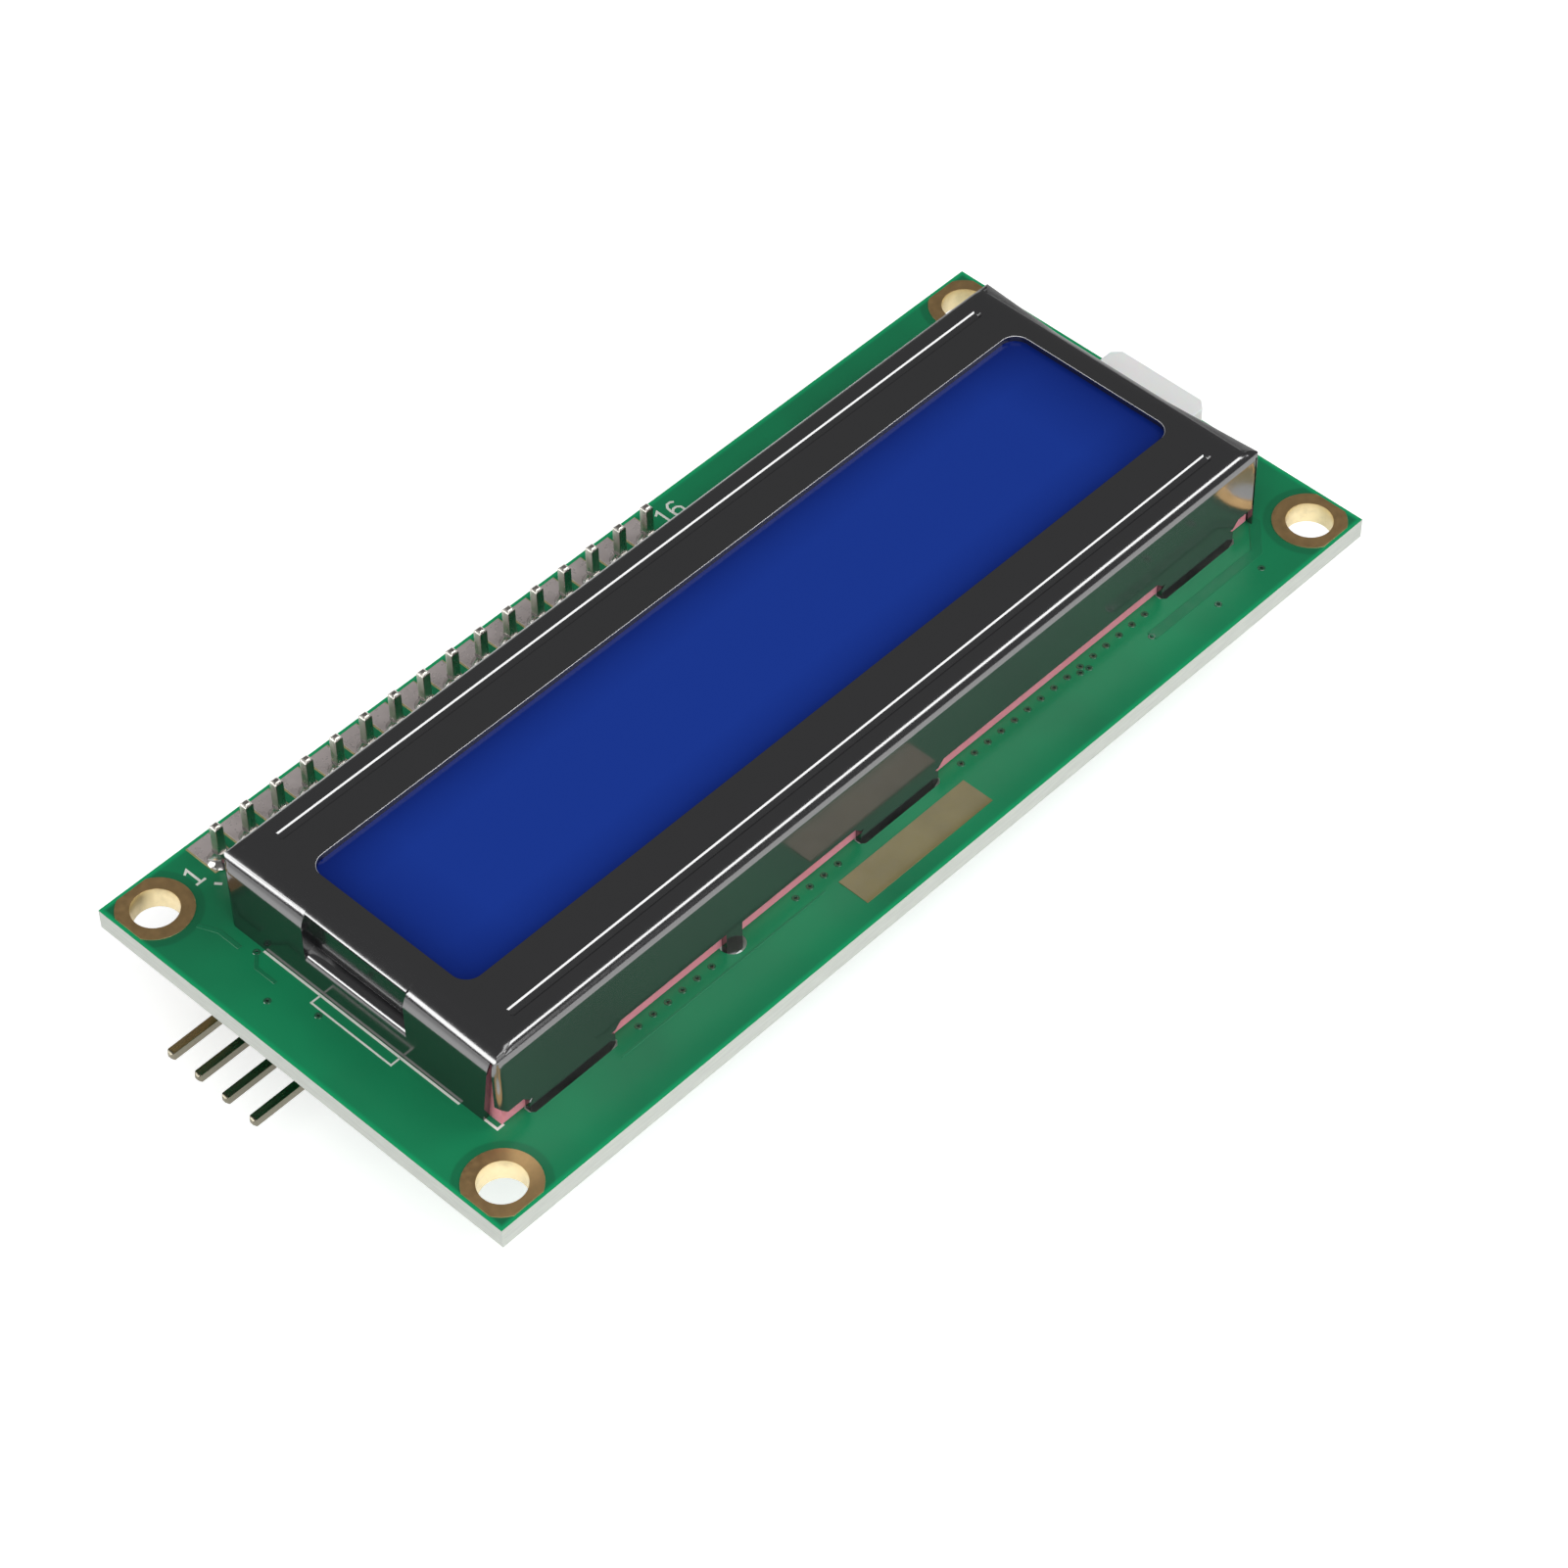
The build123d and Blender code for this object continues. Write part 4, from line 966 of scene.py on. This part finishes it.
class LCD_OT_resin_domes(bpy.types.Operator):
    """The smooth drops of resin over the two bare chips"""

    bl_idname = "lcd.resin_domes"
    bl_label = "Resin domes"

    def execute(self, context):
        for name, node in (("resin_left", "controller_dome"), ("resin_right", "driver_dome")):
            low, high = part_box(node)
            centre = ((low.x + high.x) / 2 / MM, (low.y + high.y) / 2 / MM, BOARD_BACK)
            radius = (high.x - low.x) / 2 / MM * 0.995
            height = (high.z - low.z) / MM
            drop = bmesh.new()
            profile = [(0.0, 0.0)]
            count = 12
            for i in range(count + 1):
                turn = math.pi / 2 * i / count
                profile.append((radius * math.cos(turn) ** 0.8, -height * math.sin(turn)))
            profile[-1] = (0.0, -height)
            spun(drop, profile, centre, 48)
            for vert in drop.verts:
                outward = Vector((vert.co.x - centre[0], vert.co.y - centre[1], 0))
                if outward.length < 0.1:
                    continue
                bearing = math.atan2(outward.y, outward.x)
                wobble = 0.02 * math.sin(3 * bearing + centre[0]) + 0.012 * math.sin(7 * bearing)
                vert.co -= outward * (0.03 + wobble)
            piece = finish_piece(name, drop, [material("resin")])
            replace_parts(piece, node)
        return {"FINISHED"}


DIGIT_STROKES = {
    "1": (((-0.22, 0.30), (0.02, 0.46), (0.02, -0.46)), ((-0.24, -0.46), (0.28, -0.46))),
    "6": (
        (
            (0.24, 0.36), (0.10, 0.46), (-0.08, 0.46), (-0.23, 0.30), (-0.27, 0.0),
            (-0.25, -0.28), (-0.10, -0.46), (0.10, -0.46), (0.25, -0.30), (0.25, -0.16),
        ),
        ((0.25, -0.17), (0.25, -0.08), (0.10, 0.06), (-0.10, 0.06), (-0.25, -0.08)),
    ),
}


def number(mesh_maker, digits, centre, height, stroke, base_z, thick):
    """A pin number drawn as plain ink strokes, centred on a place."""
    step = height * 0.74
    start = centre[0] - step * (len(digits) - 1) / 2
    for i, digit in enumerate(digits):
        for layer, line in enumerate(DIGIT_STROKES[digit]):
            points = [(start + i * step + x * height, centre[1] + y * height) for x, y in line]
            strip(mesh_maker, points, stroke, base_z, thick * (1 + 0.2 * layer))


class LCD_OT_printing(bpy.types.Operator):
    """White legend ink on the front: outlines beside the bezel and two pin numbers"""

    bl_idname = "lcd.printing"
    bl_label = "Legend ink"

    def execute(self, context):
        thick = settings("lcd_board").print_thickness / MM
        ink = bmesh.new()

        def line(points, width=0.12):
            strip(ink, points, width, BOARD_FACE, thick)

        line([(-35.17, 8.0), (-35.17, -9.4)], 0.16)
        line([(-35.2, 2.86), (-35.95, 2.86), (-35.95, -4.24), (-35.2, -4.24)], 0.13)
        line([(-34.93, -11.3), (-34.93, -12.43), (-34.4, -12.43)], 0.17)
        line([(-33.6, 14.35), (-33.28, 13.95)], 0.2)
        number(ink, "1", (-34.1, 15.75), 1.5, 0.17, BOARD_FACE, thick)
        number(ink, "16", (9.0, 16.3), 1.5, 0.17, BOARD_FACE, thick)
        finish_piece("legend_front", ink, [material("ink")])
        return {"FINISHED"}


class LCD_OT_label_field(bpy.types.Operator):
    """The plain gold field near the front edge of the board"""

    bl_idname = "lcd.label_field"
    bl_label = "Gold field"

    def execute(self, context):
        field = bmesh.new()
        block(field, (-1.15, -15.36, 0.02), (11.6, 2.5, 0.04), edge=0.01, segments=1)
        finish_piece("gold_field", field, [material("label gold")])
        return {"FINISHED"}


SINGLE_VIAS = (
    (31.96, -15.95), (27.49, -16.0), (22.30, -14.70), (16.71, -13.41), (17.42, -13.54),
    (-35.52, 8.30), (-36.33, 1.81), (-37.68, 4.94),
)


class LCD_OT_vias(bpy.types.Operator):
    """Small masked vias beside the contact strip and over the board"""

    bl_idname = "lcd.vias"
    bl_label = "Vias"

    def execute(self, context):
        holes = bmesh.new()
        row = [
            (start + 1.28 * i, -13.05)
            for start, count in ((-23.6, 6), (-9.7, 4), (5.6, 15))
            for i in range(count)
        ]
        ring = ((0.27, 0.0), (0.24, 0.035), (0.16, 0.045), (0.11, 0.02))
        # The dark disc in each via is painted shade where its hole is
        hole = ((0.11, 0.02), (0.0, 0.004))
        for x, y in (*row, *SINGLE_VIAS):
            for face_z, way in ((BOARD_FACE, 1), (BOARD_BACK, -1)):
                for slot, profile in enumerate((ring, hole)):
                    turned = [(radius, height * way) for radius, height in profile]
                    spun(holes, turned, (x, y, face_z), 12, slot)
        finish_piece(
            "vias", holes, [material("via"), material("via hole")],
            recalc=False,
        )
        return {"FINISHED"}


class LCD_OT_tracks(bpy.types.Operator):
    """Copper tracks that show as low ridges under the mask, front and back"""

    bl_idname = "lcd.tracks"
    bl_label = "Tracks"

    def execute(self, context):
        front = bmesh.new()
        ridge = 0.035
        for points, width in (
            ([(22.3, -14.7), (32.9, -14.75), (34.9, -12.9), (34.9, -10.6)], 0.8),
            ([(-26.0, -14.0), (-8.0, -14.0)], 0.16),
            ([(-36.6, 12.6), (-36.0, 11.2), (-36.0, 9.3)], 0.35),
            ([(-35.52, 8.3), (-36.4, 7.4), (-36.4, 5.6)], 0.25),
        ):
            strip(front, points, width, BOARD_FACE, ridge, slant=0.03)
        finish_piece("front_tracks", front, [material("mask on tracks")])

        back = bmesh.new()

        def track(points, width=0.22):
            strip(back, points, width, BOARD_BACK - ridge, ridge)

        for x, y in pin_places():
            block(back, (x, y, BOARD_BACK - 0.03), (1.8, 2.2, 0.06), edge=0.02, segments=1)
        for i, (x, y) in enumerate(pin_places()):
            if i in (8, 9):
                continue
            fan = (-12.0 if i < 8 else 16.0) + (i % 8 - 3.5) * 0.75
            low_y = 5.2 - abs(i % 8 - 3.5) * 0.25
            mid_y = 12.8 - (7 - i % 8) * 0.75
            track([(x, y - 1.0), (x, mid_y), (fan, mid_y - 1.2), (fan, low_y)], 0.3)
        pilot_low, pilot_high = -16.2, -13.8
        for dome_x in (-12.0, 16.0):
            for i in range(20):
                away = i - 9.5
                x = dome_x + away * 0.9
                if pilot_low < x < pilot_high:
                    continue
                turn_y = -9.2 - abs(away) * 0.48
                track([(x, -15.8), (x, turn_y), (dome_x + away * 0.42, -9.2)])
        for i in range(9):
            y = -6.0 + i * 0.85
            track([(-5.6, y), (9.6, y)])
        finish_piece("back_tracks", back, [material("mask on tracks")])
        return {"FINISHED"}


def stand(name, data, across, upward, away, place):
    """A lamp or camera at a place, looking against the direction away."""
    holder = bpy.data.objects.new(name, data)
    bpy.context.scene.collection.objects.link(holder)
    turned = Matrix((across, upward, away)).transposed()
    holder.matrix_world = Matrix.Translation(place) @ turned.to_4x4()
    return holder


class LCD_OT_stage(bpy.types.Operator):
    """Pale floor, soft panels and the camera"""

    bl_idname = "lcd.stage"
    bl_label = "Stage"

    def execute(self, context):
        sizes = settings("lcd_stage")
        self.floor(sizes)
        self.world(sizes)
        for name, way, size, level, along in (
            ("left_strip", (-0.850, 0.463, 0.249), (0.13, 0.50), 1.0, (0, 1, 0)),
            ("front_strip", (0.474, -0.460, 0.751), (0.16, 0.40), 1.0, (1, 0, 0)),
            ("soft_top", (-0.35, -0.35, 0.87), (0.55, 0.55), 0.4, (1, -1, 0)),
            ("soft_front", (-0.1, -0.93, 0.34), (0.60, 0.30), 0.35, (0, 0, 1)),
        ):
            place = Vector(way).normalized() * 0.62
            self.panel(name, place, size, sizes.panel_level * level, along)
        self.camera(sizes)
        return {"FINISHED"}

    def floor(self, sizes):
        surface = bmesh.new()
        bmesh.ops.create_grid(surface, x_segments=2, y_segments=2, size=sizes.floor_size / 2)
        low = min(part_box(node)[0].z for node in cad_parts)
        bmesh.ops.translate(surface, vec=(0, 0, low - 0.05 * MM), verts=surface.verts)
        mesh = bpy.data.meshes.new("floor")
        surface.to_mesh(mesh)
        surface.free()
        floor = bpy.data.objects.new("floor", mesh)
        bpy.context.scene.collection.objects.link(floor)
        paint = mottled("floor paint", tuple(sizes.floor), 0.8, scale=4.0, spread=0.004,
                        bump=0.0)
        rays = paint.node("LightPath").outputs
        mirrored = paint.math("MAXIMUM", rays["Is Glossy Ray"], rays["Is Transmission Ray"])
        seen = paint.math("MAXIMUM", rays["Is Camera Ray"], mirrored)
        # The floor glows less for mirrored rays where the two end bends would mirror it
        place = paint.split(paint.coords.outputs["Object"])
        left = paint.ramp(place[0], -0.105, -0.07, 0.15, 1.0)
        right = paint.math(
            "MAXIMUM",
            paint.ramp(place[0], 0.042, 0.050, 1.0, 0.1),
            paint.ramp(place[1], -0.035, -0.020, 1.0, 0.1),
        )
        near = paint.math("MULTIPLY", left, right)
        share = paint.math("MAXIMUM", near, rays["Is Camera Ray"])
        level = paint.math("MULTIPLY", share, sizes.floor_glow)
        strength = paint.math("MULTIPLY", seen, level)
        glow = paint.node("Emission", Color=(1, 1, 1, 1), Strength=strength)
        both = paint.node("AddShader")
        paint.link(paint.shader.outputs[0], both.inputs[0])
        paint.link(glow.outputs[0], both.inputs[1])
        # A camera below the floor sees through it, to the underside of the object
        backfacing = paint.node("NewGeometry").outputs["Backfacing"]
        under = paint.math("MULTIPLY", backfacing, rays["Is Camera Ray"])
        one_sided = paint.node("MixShader", Fac=under)
        paint.link(both.outputs[0], one_sided.inputs[1])
        paint.link(paint.node("BsdfTransparent").outputs[0], one_sided.inputs[2])
        output = paint.tree.nodes["Material Output"]
        paint.link(one_sided.outputs[0], output.inputs["Surface"])
        mesh.materials.append(paint.material)

    def world(self, sizes):
        world = bpy.data.worlds.new("studio")
        bpy.context.scene.world = world
        world.use_nodes = True
        tree = world.node_tree
        ambient = tree.nodes["Background"]
        ambient.inputs["Color"].default_value = (1, 1, 1, 1)
        ambient.inputs["Strength"].default_value = sizes.ambient
        white = add_node(tree, "Background", Color=(1, 1, 1, 1))
        rays = add_node(tree, "LightPath")
        choose = add_node(tree, "MixShader", Fac=rays.outputs["Is Camera Ray"])
        tree.links.new(ambient.outputs[0], choose.inputs[1])
        tree.links.new(white.outputs[0], choose.inputs[2])
        tree.links.new(choose.outputs[0], tree.nodes["World Output"].inputs["Surface"])

    def panel(self, name, place, size, level, along):
        """An area lamp that faces the object with an even brightness."""
        lamp = bpy.data.lights.new(name, "AREA")
        lamp.shape = "RECTANGLE"
        lamp.size, lamp.size_y = size
        lamp.energy = level * math.pi * size[0] * size[1]
        away = place.normalized()
        upward = (Vector(along) - Vector(along).dot(away) * away).normalized()
        stand(name, lamp, upward.cross(away), upward, away, place)

    def camera(self, sizes):
        azimuth, elevation = sizes.azimuth, sizes.elevation
        back = Vector(
            (
                math.sin(azimuth) * math.cos(elevation),
                -math.cos(azimuth) * math.cos(elevation),
                math.sin(elevation),
            )
        )
        right = Vector((0, 0, 1)).cross(back).normalized()
        up = back.cross(right)
        turn = sizes.roll
        across = math.cos(turn) * right + math.sin(turn) * up
        upward = math.cos(turn) * up - math.sin(turn) * right
        place = across * sizes.offset_x + upward * sizes.offset_y + back * sizes.distance
        camera = bpy.data.cameras.new("photo_view")
        camera.lens = sizes.lens
        camera.sensor_width = 36.0
        camera.clip_start = 0.01
        camera.clip_end = 20.0
        holder = stand("photo_view", camera, across, upward, back, place)
        bpy.context.scene.camera = holder
        bpy.context.scene.view_settings.view_transform = "Standard"


STEPS = (
    LCD_OT_node_finishes,
    LCD_OT_bezel,
    LCD_OT_fittings,
    LCD_OT_solder,
    LCD_OT_resin_domes,
    LCD_OT_printing,
    LCD_OT_label_field,
    LCD_OT_vias,
    LCD_OT_tracks,
    LCD_OT_stage,
)


class LCD_PT_sidebar(bpy.types.Panel):
    """Lists the steps that dress the display module"""

    bl_idname = "LCD_PT_sidebar"
    bl_label = "Character LCD module"
    bl_space_type = "VIEW_3D"
    bl_region_type = "UI"
    bl_category = "Display"

    def draw(self, context):
        for step in STEPS:
            self.layout.operator(step.bl_idname)
        for group in GROUPS:
            box = self.layout.box()
            values = getattr(context.scene, group)
            for name in values.bl_rna.properties.keys():
                if name not in ("rna_type", "name"):
                    box.prop(values, name)


GROUPS = {
    "lcd_board": BoardFinish,
    "lcd_metal": MetalFinish,
    "lcd_display": DisplayFinish,
    "lcd_solder": SolderSizes,
    "lcd_stage": StageSizes,
}


def register():
    for group in GROUPS.values():
        bpy.utils.register_class(group)
    for name, group in GROUPS.items():
        setattr(bpy.types.Scene, name, PointerProperty(type=group))
    for step in STEPS:
        bpy.utils.register_class(step)
    bpy.utils.register_class(LCD_PT_sidebar)


def unregister():
    bpy.utils.unregister_class(LCD_PT_sidebar)
    for step in reversed(STEPS):
        bpy.utils.unregister_class(step)
    for name in GROUPS:
        delattr(bpy.types.Scene, name)
    for group in GROUPS.values():
        bpy.utils.unregister_class(group)


def main():
    register()
    for step in STEPS:
        category, name = step.bl_idname.split(".")
        getattr(getattr(bpy.ops, category), name)()


if __name__ == "__main__":
    main()
